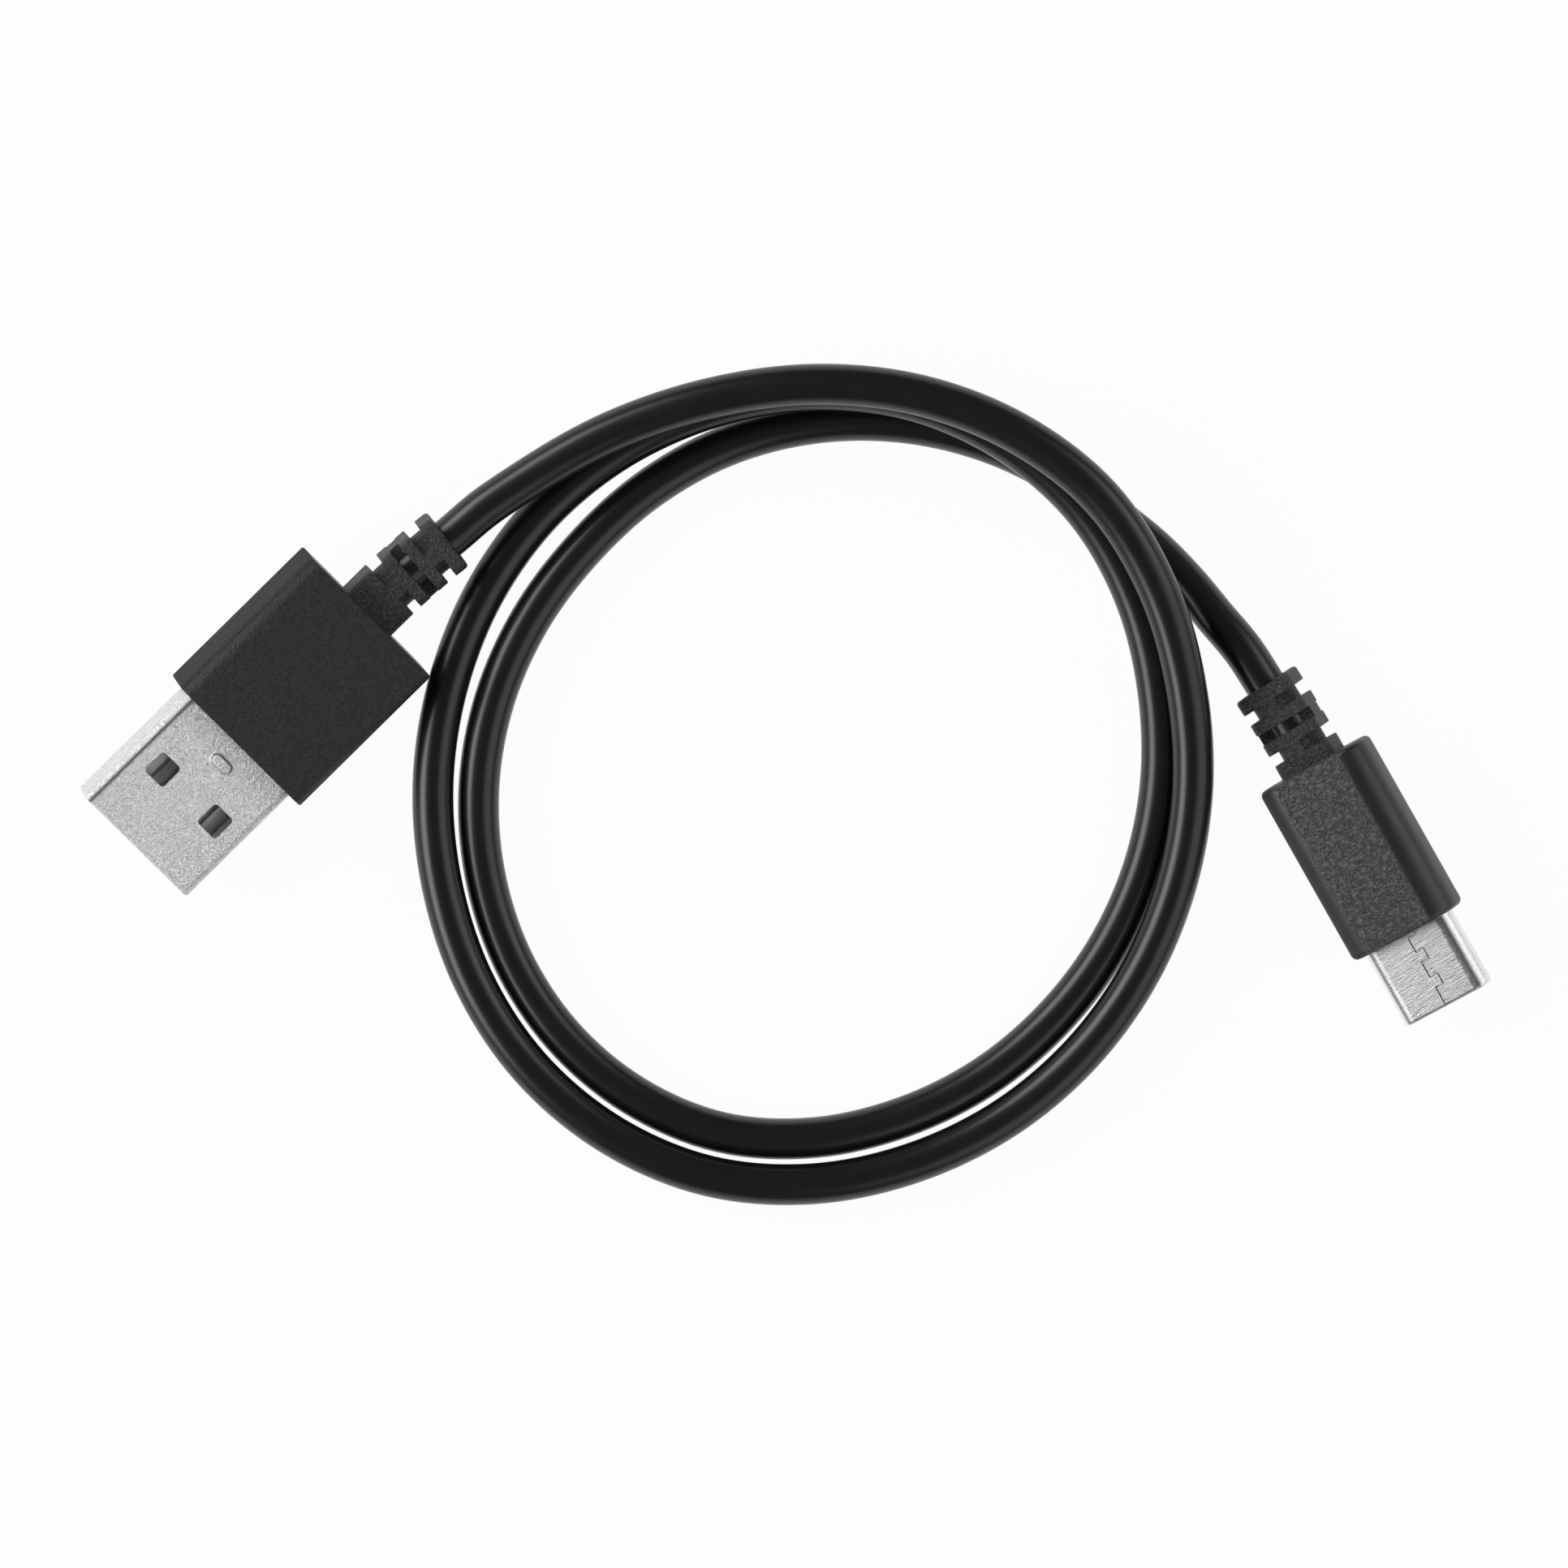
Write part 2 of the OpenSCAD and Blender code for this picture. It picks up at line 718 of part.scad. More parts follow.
module phone_plug_grip() {
    color(RUBBER) in_phone_plug() difference() {
        bar(0, phone_grip_l) rounded_section(phone_grip_w, phone_grip_h, phone_grip_corner);
        bar(mould_start, phone_mould_front) oval_section(phone_mould_w, phone_mould_h);
        bar(phone_mould_front - through, phone_grip_l + through)
            oval_section(phone_shell_w + grip_hole_gap, phone_shell_h + grip_hole_gap);
        bar(-through, mould_start + through) circle(d = relief_bore_d);
    }
}

module phone_plug_strain_relief() {
    strain_relief(phone_rear, phone_near, phone_far, phone_heading, phone_bend, phone_tilt,
        phone_collar_l);
}

module phone_plug_inner_mould() {
    color(MILKY_PLASTIC) in_phone_plug() difference() {
        bar(mould_start, phone_mould_front)
            oval_section(phone_mould_w - fit_gap, phone_mould_h - fit_gap);
        bar(mould_start - through, phone_can_back + through)
            circle(d = crimp_d(phone_sheet) + 2 * fit_gap);
        bar(phone_can_back, phone_shell_back + through)
            oval_section(phone_can_w + fit_gap, phone_can_h + fit_gap);
        bar(phone_shell_back, phone_mould_front + through)
            oval_section(phone_shell_w + grip_hole_gap, phone_shell_h + grip_hole_gap);
    }
}

// Sheet cover over the board's rear, with its barrel round the jacket
module phone_plug_rear_can() {
    color(STEEL) in_phone_plug() difference() {
        union() {
            bar(crimp_start, phone_can_back + phone_sheet) circle(d = crimp_d(phone_sheet));
            bar(phone_can_back, phone_shell_back) oval_section(phone_can_w, phone_can_h);
        }
        bar(crimp_start - through, phone_can_back + 2 * phone_sheet) circle(d = relief_bore_d);
        bar(phone_can_back + phone_sheet, phone_shell_back + through)
            oval_section(phone_can_w - 2 * phone_sheet, phone_can_h - 2 * phone_sheet);
    }
}

module phone_plug_shell() {
    color(STEEL) in_phone_plug() difference() {
        bar(phone_shell_back, phone_front) oval_section(phone_shell_w, phone_shell_h);
        bar(phone_shell_back - through, phone_front + through)
            oval_section(phone_inner_w, phone_inner_h);
    }
}

// One pin of the phone plug: up is 1 for the upper row and -1 for the lower one. It lies in the
// mouth's wall and behind the mouth it runs back to the board's face.
module pin(place, up) {
    y = place * pin_pitch / 2;
    near = mouth_h / 2 - pin_t / 2;
    far = board_t / 2;
    z0 = up > 0 ? far : -far - pin_t;
    z1 = up > 0 ? near : -near - pin_t;
    knee = phone_shell_back + 1;
    box(board_front - 1.2, knee + pin_t, y - pin_w / 2, y + pin_w / 2, z0, z0 + pin_t);
    box(knee, knee + pin_t, y - pin_w / 2, y + pin_w / 2, min(z0, z1), max(z0, z1) + pin_t);
    box(knee, phone_front - pin_setback, y - pin_w / 2, y + pin_w / 2, z1, z1 + pin_t);
}

module pin_row(places, up) {
    for (p = places) {
        pin(p, up);
    }
}

module latch_shape() {
    hook_l = 0.8;
    hook_reach = 0.35;
    for (side = [-1, 1]) {
        y = side * latch_arm_y;
        box(latch_back, phone_front - 1.2, y - latch_arm_w / 2, y + latch_arm_w / 2,
            -latch_t / 2, latch_t / 2);
        tip = side * (latch_arm_y - latch_arm_w / 2);
        box(phone_front - 1.2 - hook_l, phone_front - 1.2, min(tip, tip - side * hook_reach),
            max(tip, tip - side * hook_reach), -latch_t / 2, latch_t / 2);
    }
    box(latch_back, latch_back + 1.2, -latch_arm_y, latch_arm_y, -latch_t / 2, latch_t / 2);
}

module spring_shape(up) {
    z = up > 0 ? spring_z : -spring_z - spring_t;
    box(phone_front - housing_setback - spring_l, phone_front - housing_setback, -spring_w / 2,
        spring_w / 2, z, z + spring_t);
}

module phone_plug_housing() {
    color(BLACK_PLASTIC) in_phone_plug() difference() {
        bar(phone_shell_back, phone_front - housing_setback)
            oval_section(phone_inner_w - fit_gap, phone_inner_h - fit_gap);
        box(phone_front - housing_setback - mouth_depth, phone_front, -mouth_w / 2, mouth_w / 2,
            -mouth_h / 2, mouth_h / 2);
        pin_row(upper_pins, 1);
        pin_row(lower_pins, -1);
        latch_shape();
        for (up = [-1, 1]) {
            spring_shape(up);
        }
    }
}

module phone_plug_upper_contacts() {
    color(GOLD) in_phone_plug() pin_row(upper_pins, 1);
}

module phone_plug_lower_contacts() {
    color(GOLD) in_phone_plug() pin_row(lower_pins, -1);
}

module phone_plug_latch() {
    color(STEEL) in_phone_plug() latch_shape();
}

module phone_plug_ground_springs() {
    color(STEEL) in_phone_plug() for (up = [-1, 1]) {
        spring_shape(up);
    }
}

module phone_plug_board() {
    color(BOARD_GREEN) in_phone_plug()
        box(board_back, board_front, -board_w / 2, board_w / 2, -board_t / 2, board_t / 2);
}

module phone_plug_resistor() {
    middle = (board_back + board_front) / 2;
    color(BLACK) in_phone_plug()
        box(middle, middle + resistor_w, -resistor_l / 2, resistor_l / 2, board_t / 2,
            board_t / 2 + resistor_h);
}

module phone_plug_solder_joints() {
    color(SOLDER) in_phone_plug() for (y = [-pad_y, pad_y]) {
        for (up = [-1, 1]) {
            solder_bead(phone_bead_x, y, up * board_t / 2, up);
        }
    }
}

phone_jacket_route = jacket_end_route(phone_rear, phone_near, phone_far, phone_heading,
    phone_bend, phone_tilt);

module phone_plug_jacket_end() {
    color(RUBBER) jacket(phone_jacket_route, tail_sides);
}

// A lead of the phone plug; side is 1 on the plug's left and -1 on its right. Two go over the
// board and two under it.
module phone_lead(side, above) {
    y = side * pad_y;
    z = above * (board_t + wire_d) / 2;
    fan = [
        [phone_can_back, side * wire_offset, above * wire_offset],
        [board_back - 0.2, y, z],
        [phone_bead_x, y, z],
    ];
    lead(phone_jacket_route, side, above, fan, phone_rear, phone_heading, phone_tilt);
}

module phone_plug_red_lead() {
    color(RED) phone_lead(1, 1);
}

module phone_plug_black_lead() {
    color(BLACK) phone_lead(-1, 1);
}

module phone_plug_white_lead() {
    color(WHITE) phone_lead(1, -1);
}

module phone_plug_green_lead() {
    color(GREEN) phone_lead(-1, -1);
}

// ---- Drawing --------------------------------------------------------------------------------

cord_tail_charger_end();
cord_loops();
cord_tail_phone_end();
red_wire();
black_wire();
white_wire();
green_wire();
charger_plug_grip();
charger_plug_strain_relief();
charger_plug_inner_mould();
charger_plug_rear_can();
charger_plug_shell();
charger_plug_tongue();
charger_plug_power_contact();
charger_plug_data_minus_contact();
charger_plug_data_plus_contact();
charger_plug_ground_contact();
charger_plug_solder_joints();
charger_plug_jacket_end();
charger_plug_red_lead();
charger_plug_black_lead();
charger_plug_white_lead();
charger_plug_green_lead();
phone_plug_grip();
phone_plug_strain_relief();
phone_plug_inner_mould();
phone_plug_rear_can();
phone_plug_shell();
phone_plug_housing();
phone_plug_upper_contacts();
phone_plug_lower_contacts();
phone_plug_latch();
phone_plug_ground_springs();
phone_plug_board();
phone_plug_resistor();
phone_plug_solder_joints();
phone_plug_jacket_end();
phone_plug_red_lead();
phone_plug_black_lead();
phone_plug_white_lead();
phone_plug_green_lead();
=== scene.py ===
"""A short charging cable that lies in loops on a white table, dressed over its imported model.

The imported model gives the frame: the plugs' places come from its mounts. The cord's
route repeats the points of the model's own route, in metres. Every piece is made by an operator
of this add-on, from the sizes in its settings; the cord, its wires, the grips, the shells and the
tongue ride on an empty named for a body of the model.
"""

import json
import math

import bmesh
import bpy
from bpy.props import FloatProperty, FloatVectorProperty, IntProperty, PointerProperty
from mathutils import Matrix, Vector


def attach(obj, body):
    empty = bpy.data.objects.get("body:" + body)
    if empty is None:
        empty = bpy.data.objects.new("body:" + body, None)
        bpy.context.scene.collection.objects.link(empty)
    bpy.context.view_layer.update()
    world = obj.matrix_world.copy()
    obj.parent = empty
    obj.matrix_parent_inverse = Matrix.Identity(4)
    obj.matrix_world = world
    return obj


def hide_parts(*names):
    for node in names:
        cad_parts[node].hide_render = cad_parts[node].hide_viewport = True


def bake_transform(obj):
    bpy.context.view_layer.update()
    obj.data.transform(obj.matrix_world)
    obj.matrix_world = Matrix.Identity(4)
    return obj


bl_info = {
    "name": "Charging cable",
    "version": (1, 0, 0),
    "blender": (4, 5, 0),
    "location": "View3D > Sidebar > Cable",
    "description": "Makes a looped charging cable with its two plugs, its finishes and its stage",
    "category": "Object",
}

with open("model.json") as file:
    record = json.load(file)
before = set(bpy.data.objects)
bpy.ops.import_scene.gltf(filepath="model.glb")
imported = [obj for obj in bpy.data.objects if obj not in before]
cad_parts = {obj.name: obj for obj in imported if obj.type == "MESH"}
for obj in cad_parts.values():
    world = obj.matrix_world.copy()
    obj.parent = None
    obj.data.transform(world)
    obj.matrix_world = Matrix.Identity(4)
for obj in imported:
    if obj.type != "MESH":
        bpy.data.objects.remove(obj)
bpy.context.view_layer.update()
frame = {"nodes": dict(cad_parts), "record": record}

MM = 0.001
UP = Vector((0, 0, 1))
COLOURS = ("red", "black", "white", "green")
# Each wire's place in the jacket, left and up as seen along the cord toward the phone plug
WIRE_PLACES = {"red": (1, 1), "black": (-1, 1), "white": (1, -1), "green": (-1, -1)}
WIRE_SIDES = 10
# A wire and its lead part at the middle of the far notch: half the gap between them
HALF_GAP = 0.1 * MM
# How far the jacket and the leads' straight stretch run into the grip
INTO_GRIP = 3 * MM
LEAD_STEP = 0.35 * MM
# Straight end of a lead before its solder joint
SOLDERED = 0.8 * MM
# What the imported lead's end spans along X
LEAD_TIP = 0.05 * MM
# How far a shape runs past the solid that it cuts
PAST = 1 * MM
TINY = 1e-9


# ---- Settings -------------------------------------------------------------------------------


def size(name, description, millimetres):
    """A length setting, given in millimetres and kept in metres."""
    return FloatProperty(
        name=name, description=description, default=millimetres * MM, unit="LENGTH", precision=5,
    )


def turn(name, description, degrees):
    """An angle setting, given in degrees and kept in radians."""
    return FloatProperty(
        name=name, description=description, default=math.radians(degrees), subtype="ANGLE",
    )


def grey(level, blue=0.0):
    """A grey in linear light, with a little more blue or less."""
    return (level, level, level + blue)


def colour(name, description, value):
    """A colour setting in linear light."""
    return FloatVectorProperty(
        name=name, description=description, default=value, subtype="COLOR", min=0, max=1,
    )


class CordSettings(bpy.types.PropertyGroup):
    """Sizes of the cord and the fineness of its mesh."""

    diameter: size("Diameter", "Outer diameter of the jacket", 3.4)
    wall: size("Wall", "Wall of the jacket", 0.4)
    wire: size("Wire", "Diameter of one insulated wire", 0.84)
    wire_offset: size("Wire offset", "Distance of a wire's middle from the cord's, each way", 0.445)
    inset: size("Inset", "How far the free cord runs into each strain relief", 0.8)
    sides: IntProperty(name="Sides", description="Sides of the jacket's tube", default=28, min=8)
    step: size("Step", "Longest step of the curve between two rings of the mesh", 1)


class ReliefSettings(bpy.types.PropertyGroup):
    """Sizes that both strain reliefs share."""

    width: size("Width", "Width of a strain relief", 5.2)
    height: size("Height", "Height of a strain relief", 4.1)
    corner: size("Corner", "Radius along its long edges", 0.9)
    core: size("Core", "Diameter of the core in the notches", 4)
    web: size("Web", "Width of the webs above and below the core", 1.4)
    notch: size("Notch", "Length of a side notch", 1)
    block: size("Block", "Length of the block between the notches", 3)
    slot: size("Slot", "Width of the slot across the block", 0.9)
    bar: size("Bar", "Height of the bars beside the slot", 1.9)
    end_collar: size("End collar", "Length of the collar at the cord", 1.3)
    edge: size("Edge", "Rounding of the moulded edges", 0.09)
    sides: IntProperty(name="Sides", description="Points round the relief", default=144, min=24)


class ChargerPlugSettings(bpy.types.PropertyGroup):
    """Sizes of the wide plug for the charger, and how it lies."""

    tilt: turn("Tilt", "Roll about its own axis as it lies", -16)
    bend: turn("Bend", "Turn of its relief at each notch", -3.2)
    collar: size("Collar", "Length of the relief's collar at the grip", 2.65)
    grip_width: size("Grip width", "Width of the grip", 14.2)
    grip_height: size("Grip height", "Height of the grip", 7.2)
    grip_length: size("Grip length", "Length of the grip", 15.1)
    grip_corner: size("Grip corner", "Radius along the grip's long edges", 1.2)
    grip_edge: size("Grip edge", "Rounding of the grip's end edges", 0.16)
    shell_width: size("Shell width", "Width of the steel shell", 12)
    shell_height: size("Shell height", "Height of the steel shell", 4.5)
    shell_corner: size("Shell corner", "Outer radius of the shell's corners", 0.5)
    shell_back: size("Shell back", "Start of the shell inside the grip", 9.2)
    reach: size("Reach", "How far the shell stands out", 11.9)
    sheet: size("Sheet", "Thickness of the steel", 0.3)
    lip: size("Lip", "Rounding of the front rim", 0.22)
    window: size("Window", "Side of a square latch window", 2.2)
    window_corner: size("Window corner", "Radius of a window's corners", 0.35)
    window_spacing: size("Window spacing", "Distance between the windows' middles", 6.2)
    window_setback: size("Window setback", "Distance of the windows' middles from the rim", 6.1)
    dimple_length: size("Dimple length", "Length of the pressed dimple, across the shell", 2)
    dimple_width: size("Dimple width", "Width of the pressed dimple", 0.95)
    dimple_rise: size("Dimple rise", "Height of the pressed dimple", 0.16)
    dimple_setback: size("Dimple setback", "Distance of the dimple from the rim", 9.8)
    seam_middle: size("Seam middle", "Place of the joint of the sheet across the lower face", 0.5)
    seam_swing: size("Seam swing", "How far the joint steps from side to side", 1.2)
    seam_wide: size("Wide tooth", "Length of the joint's wide teeth", 2.2)
    seam_narrow: size("Narrow tooth", "Length of its narrow teeth", 1.8)
    seam_undercut: size("Seam undercut", "Undercut of its teeth", 0.12)
    seam_round: size("Seam rounding", "Rounding of its corners", 0.2)
    seam_width: size("Seam width", "Width of its gap", 0.07)
    cut_edge: size("Cut edge", "Rounding of the cut edges", 0.045)
    tongue_height: size("Tongue height", "Thickness of the tongue", 1.85)
    tongue_setback: size("Tongue setback", "Distance of the tongue's end from the rim", 0.4)
    tongue_block: size("Tongue block", "Where the full block behind the tongue ends", 14.5)
    channel_depth: size("Channel depth", "Depth of the channels that the contacts lie in", 0.4)
    channel_side: size("Channel side", "Width of a channel beside its contact", 0.32)
    contact_width: size("Contact width", "Width of a contact", 1)
    inner_contact: size("Inner contacts", "Distance of the inner contacts from the middle", 1)
    outer_contact: size("Outer contacts", "Distance of the outer contacts from the middle", 3.5)


class PhonePlugSettings(bpy.types.PropertyGroup):
    """Sizes of the slim plug for the phone, and how it lies."""

    tilt: turn("Tilt", "Roll about its own axis as it lies", 23)
    bend: turn("Bend", "Turn of its relief at each notch", 1.75)
    collar: size("Collar", "Length of the relief's collar at the grip", 1.35)
    grip_width: size("Grip width", "Width of the grip", 10.2)
    grip_height: size("Grip height", "Height of the grip", 5.6)
    grip_length: size("Grip length", "Length of the grip", 15.9)
    grip_corner: size("Grip corner", "Radius along the grip's long edges", 2.3)
    grip_edge: size("Grip edge", "Rounding of the grip's end edges", 0.5)
    shell_width: size("Shell width", "Width of the steel shell", 8.34)
    shell_height: size("Shell height", "Height of the steel shell", 2.56)
    shell_corner: size("Shell corner", "Outer radius of the shell's sides", 1.28)
    shell_back: size("Shell back", "Start of the shell inside the grip", 12.6)
    reach: size("Reach", "How far the shell stands out", 6.8)
    sheet: size("Sheet", "Thickness of the steel", 0.2)
    lip: size("Lip", "Rounding of the front rim", 0.28)
    seam_middle: size("Seam middle", "Place of the joint of the sheet across the upper face", 0.52)
    seam_swing: size("Seam swing", "How far the joint steps from side to side", 0.75)
    seam_wide: size("Wide tooth", "Length of the joint's wide teeth", 1.34)
    seam_narrow: size("Narrow tooth", "Length of its narrow teeth", 1)
    seam_undercut: size("Seam undercut", "Undercut of its teeth", 0.07)
    seam_round: size("Seam rounding", "Rounding of its corners", 0.14)
    seam_width: size("Seam width", "Width of its gap", 0.1)
    cut_edge: size("Cut edge", "Rounding of the cut edges", 0.02)


class StageSettings(bpy.types.PropertyGroup):
    """Camera, lamps and table."""

    lens: FloatProperty(
        name="Lens", description="Focal length of the camera in millimetres", default=200, min=10,
    )
    sensor: FloatProperty(
        name="Sensor", description="Width of the camera's sensor in millimetres", default=36, min=1,
    )
    view_width: size("View width", "Width of the view at the plugs' height", 128.8)
    view_height: size("View height", "Height of the plugs' middle, where the view has that width", 5.6)
    view_y: size("View middle", "Place of the view's middle along Y", -1.07)
    world: FloatProperty(
        name="World", description="Strength of the even light from all round", default=0.12,
    )
    table: size("Table", "Width of the table", 2400)
    table_colour: colour("Table colour", "Colour of the table", grey(0.68))
    table_glow: FloatProperty(
        name="Table glow", description="Share of plain white that the camera sees", default=0.96,
    )


# ---- Frames of the two plugs ----------------------------------------------------------------


class Plug:
    """Where a plug lies. In its own frame +X is the way it goes in, +Z is its upper face, and the
    origin is the middle of the grip's rear face."""

    def __init__(self, name, settings, relief):
        mount = next(m for m in frame["record"]["mounts"] if m["name"] == f"{name}_plug")
        self.name = name
        self.set = settings
        self.forward = Vector(mount["axis"]).normalized()
        self.front = settings.grip_length + settings.reach
        self.rear = Vector(mount["pos_m"]) - self.front * self.forward
        self.near_at = settings.collar + relief.notch / 2
        self.far_at = self.near_at + relief.block + relief.notch
        self.end_at = self.far_at + relief.notch / 2 + relief.end_collar
        self.slot_at = (self.near_at + self.far_at) / 2
        self.half_notch = relief.notch / 2
        self.near = self.rear - self.near_at * self.forward
        self.far = self.near - (self.far_at - self.near_at) * self.way(1)
        self.plug_body = f"{name}_plug"
        self.relief_body = f"{name}_relief"

    def way(self, bends):
        """Way the plug's axis points after a number of bends of its relief, from the grip back."""
        return Matrix.Rotation(self.set.bend * bends, 3, "Z") @ self.forward

    def axis_point(self, back):
        """A point of the axis, a distance behind the grip's rear face, or in front of it if negative."""
        if back <= self.near_at:
            return self.rear - back * self.forward
        if back <= self.far_at:
            return self.near - (back - self.near_at) * self.way(1)
        return self.far - (back - self.far_at) * self.way(2)

    def place(self, back=0.0):
        """Matrix of the plug's frame, slid back along the relief and turned with it."""
        bends = ease((back - self.near_at) / self.half_notch) + ease((back - self.far_at) / self.half_notch)
        x = self.way(bends)
        left = UP.cross(x).normalized()
        up = x.cross(left)
        tilt = self.set.tilt
        y = left * math.cos(tilt) + up * math.sin(tilt)
        z = up * math.cos(tilt) - left * math.sin(tilt)
        return Matrix.Translation(self.axis_point(back)) @ Matrix((x, y, z)).transposed().to_4x4()


def ease(t):
    """Smooth step from 0 at t = -1 to 1 at t = 1."""
    t = min(max((t + 1) / 2, 0), 1)
    return t * t * (3 - 2 * t)


def plugs(context):
    """Both plugs, by name."""
    scene = context.scene
    relief = scene.cable_relief
    return {
        "charger": Plug("charger", scene.cable_charger_plug, relief),
        "phone": Plug("phone", scene.cable_phone_plug, relief),
    }


# ---- Route of the cord ----------------------------------------------------------------------

LOOP_CENTRE = Vector((2.5, -1.05, 0)) * MM
FIRST_BEARING = 135
# Radius and height of the cord's middle at each twelfth of a turn, clockwise, in millimetres.
# The outer turn starts high, from the charger plug, crosses the other two at the top right and
# comes down beside the inner turn, which passes over the end stretch once.
LYING = 1.7
OUTER_TURN = [
    (34.6, 5.7), (32.7, 7.7), (32.9, 9.1), (33.1, 9), (31.5, 7), (30.9, 4.7),
    (31.3, 3.1), (32.3, 2.6), (33.5, 2.7), (33.1, 2.7), (31.8, 3), (31.3, 2.4),
]
INNER_TURN = [
    (31.7, 2.3), (32.1, 3.85), (32.5, 5.3), (31.6, 5.4), (29.3, 3.8), (28, 2.2),
    (27.7, LYING), (28.5, LYING), (29.8, LYING), (29.4, LYING), (28.2, LYING), (27.3, LYING),
]
END_STRETCH = [(27.2, LYING), (28.8, LYING), (30.8, LYING), (32.9, LYING)]
# These two only steer the ends of the curve
BEFORE_LOOPS = (39.4, 5)
AFTER_LOOPS = (34.6, LYING)
LOOP_STATIONS = [BEFORE_LOOPS, *OUTER_TURN, *INNER_TURN, *END_STRETCH, AFTER_LOOPS]
STATIONS_PER_TURN = 12
RINGS_PER_TURN = 24
PHONE_TAIL = [Vector((33.4, 15.35, 2.5)) * MM, Vector((35.5, 12.75, 3.3)) * MM]


def smooth(a, b, c, d, t):
    """Smooth curve through four values, between the second and the third."""
    return (2 * b + (c - a) * t + (2 * a - 5 * b + 4 * c - d) * t**2 + (3 * b - a - 3 * c + d) * t**3) / 2


def loop_point(turned, radius):
    """Point of the loops after a number of twelfths of a turn; none lies lower than the cord's radius."""
    i = min(int(turned), len(LOOP_STATIONS) - 4)
    out, height = (
        smooth(*(LOOP_STATIONS[i + n][k] for n in range(4)), turned - i) * MM for k in range(2)
    )
    bearing = math.radians(FIRST_BEARING - turned * 360 / STATIONS_PER_TURN)
    flat = Vector((math.cos(bearing), math.sin(bearing), 0))
    return LOOP_CENTRE + out * flat + max(height, radius) * UP


def curve_through(points, step):
    """Points of a smooth curve through the given ones, at most a step apart.
    At each given point the curve runs between the ways of its two chords, nearer the shorter one's."""
    chords = [b - a for a, b in zip(points, points[1:])]
    ways = [chords[0].normalized()]
    for back, ahead in zip(chords, chords[1:]):
        shared = back.length + ahead.length
        ways.append((back.normalized() * ahead.length + ahead.normalized() * back.length) / shared)
    ways.append(chords[-1].normalized())
    line = []
    for i, chord in enumerate(chords):
        count = max(math.ceil(chord.length / step), 1)
        start, end = ways[i] * chord.length, ways[i + 1] * chord.length
        for t in (k / count for k in range(count)):
            line.append(
                points[i] + (3 * t**2 - 2 * t**3) * chord
                + (t**3 - 2 * t**2 + t) * start + (t**3 - t**2) * end
            )
    return [*line, points[-1]]


def cord_points(both, cord):
    """The route's own points, from inside the charger plug's relief to inside the phone plug's."""
    charger, phone = both["charger"], both["phone"]
    radius = cord.diameter / 2
    last = len(LOOP_STATIONS) - 3
    rings = round(last / STATIONS_PER_TURN * RINGS_PER_TURN)
    loops = [loop_point(i * STATIONS_PER_TURN / RINGS_PER_TURN, radius) for i in range(rings + 1)]
    slight = 0.01
    start_way = (loop_point(slight, radius) - loops[0]).normalized()
    end_way = (loops[-1] - loop_point(last - slight, radius)).normalized()
    start = loops[0] - cord.diameter * start_way
    end = loops[-1] + cord.diameter * end_way
    return [
        charger.axis_point(charger.end_at - cord.inset),
        charger.axis_point(charger.end_at),
        start,
        *loops,
        end,
        end + cord.diameter / 2 * end_way,
        *PHONE_TAIL,
        phone.axis_point(phone.end_at + cord.diameter),
        phone.axis_point(phone.end_at),
        phone.axis_point(phone.end_at - cord.inset),
    ]


def way_at(line, i):
    """Way a line runs at one of its points."""
    return (line[min(i + 1, len(line) - 1)] - line[max(i - 1, 0)]).normalized()


def beside(line, left, above):
    """The line moved sideways, level to the left and square to that upward."""
    moved = []
    for i, point in enumerate(line):
        way = way_at(line, i)
        side = UP.cross(way).normalized()
        moved.append(point + left * side + above * way.cross(side))
    return moved


def length_of(line):
    """Length of a line of points."""
    return sum((b - a).length for a, b in zip(line, line[1:]))


# ---- Mesh making ----------------------------------------------------------------------------


class Skin:
    """Points and faces of a mesh in the making, as rings with the same number of points."""

    def __init__(self):
        self.points = []
        self.faces = []

    def ring(self, points):
        first = len(self.points)
        self.points.extend(points)
        return list(range(first, len(self.points)))

    def bridge(self, a, b):
        n = len(a)
        self.faces.extend((a[k], a[(k + 1) % n], b[(k + 1) % n], b[k]) for k in range(n))

    def tube(self, rings, closed=False):
        """Bridges each ring to the next, and the last to the first if closed."""
        indexed = [self.ring(points) for points in rings]
        for a, b in zip(indexed, indexed[1:]):
            self.bridge(a, b)
        if closed:
            self.bridge(indexed[-1], indexed[0])
        return indexed

    def cap(self, ring, flip=False):
        self.faces.append(tuple(reversed(ring)) if flip else tuple(ring))

    def object(self, name, sharp_degrees=40.0):
        """A new object with the mesh, smooth but for its sharp edges."""
        mesh = bpy.data.meshes.new(name)
        mesh.from_pydata([tuple(p) for p in self.points], [], self.faces)
        mesh.validate()
        piece = bpy.data.objects.new(name, mesh)
        bpy.context.scene.collection.objects.link(piece)
        shade(piece, sharp_degrees)
        return piece


def shade(piece, sharp_degrees):
    """Smooth shading that breaks at edges sharper than the angle."""
    mesh = piece.data
    mesh.update()
    mesh.polygons.foreach_set("use_smooth", [True] * len(mesh.polygons))
    mesh.set_sharp_from_angle(angle=math.radians(sharp_degrees))


def tube_rings(line, radius, sides):
    """Rings of a tube about a line, square to it, with a point straight down."""
    rings = []
    for i, point in enumerate(line):
        way = way_at(line, i)
        side = UP.cross(way).normalized()
        up = way.cross(side)
        angles = [math.radians(90 + 360 * k / sides) for k in range(sides)]
        rings.append([point + radius * (math.cos(a) * side + math.sin(a) * up) for a in angles])
    return rings


def solid_tube(name, line, radius, sides):
    """A closed round tube along a line."""
    skin = Skin()
    rings = skin.tube(tube_rings(line, radius, sides))
    skin.cap(rings[0], flip=True)
    skin.cap(rings[-1])
    return skin.object(name)


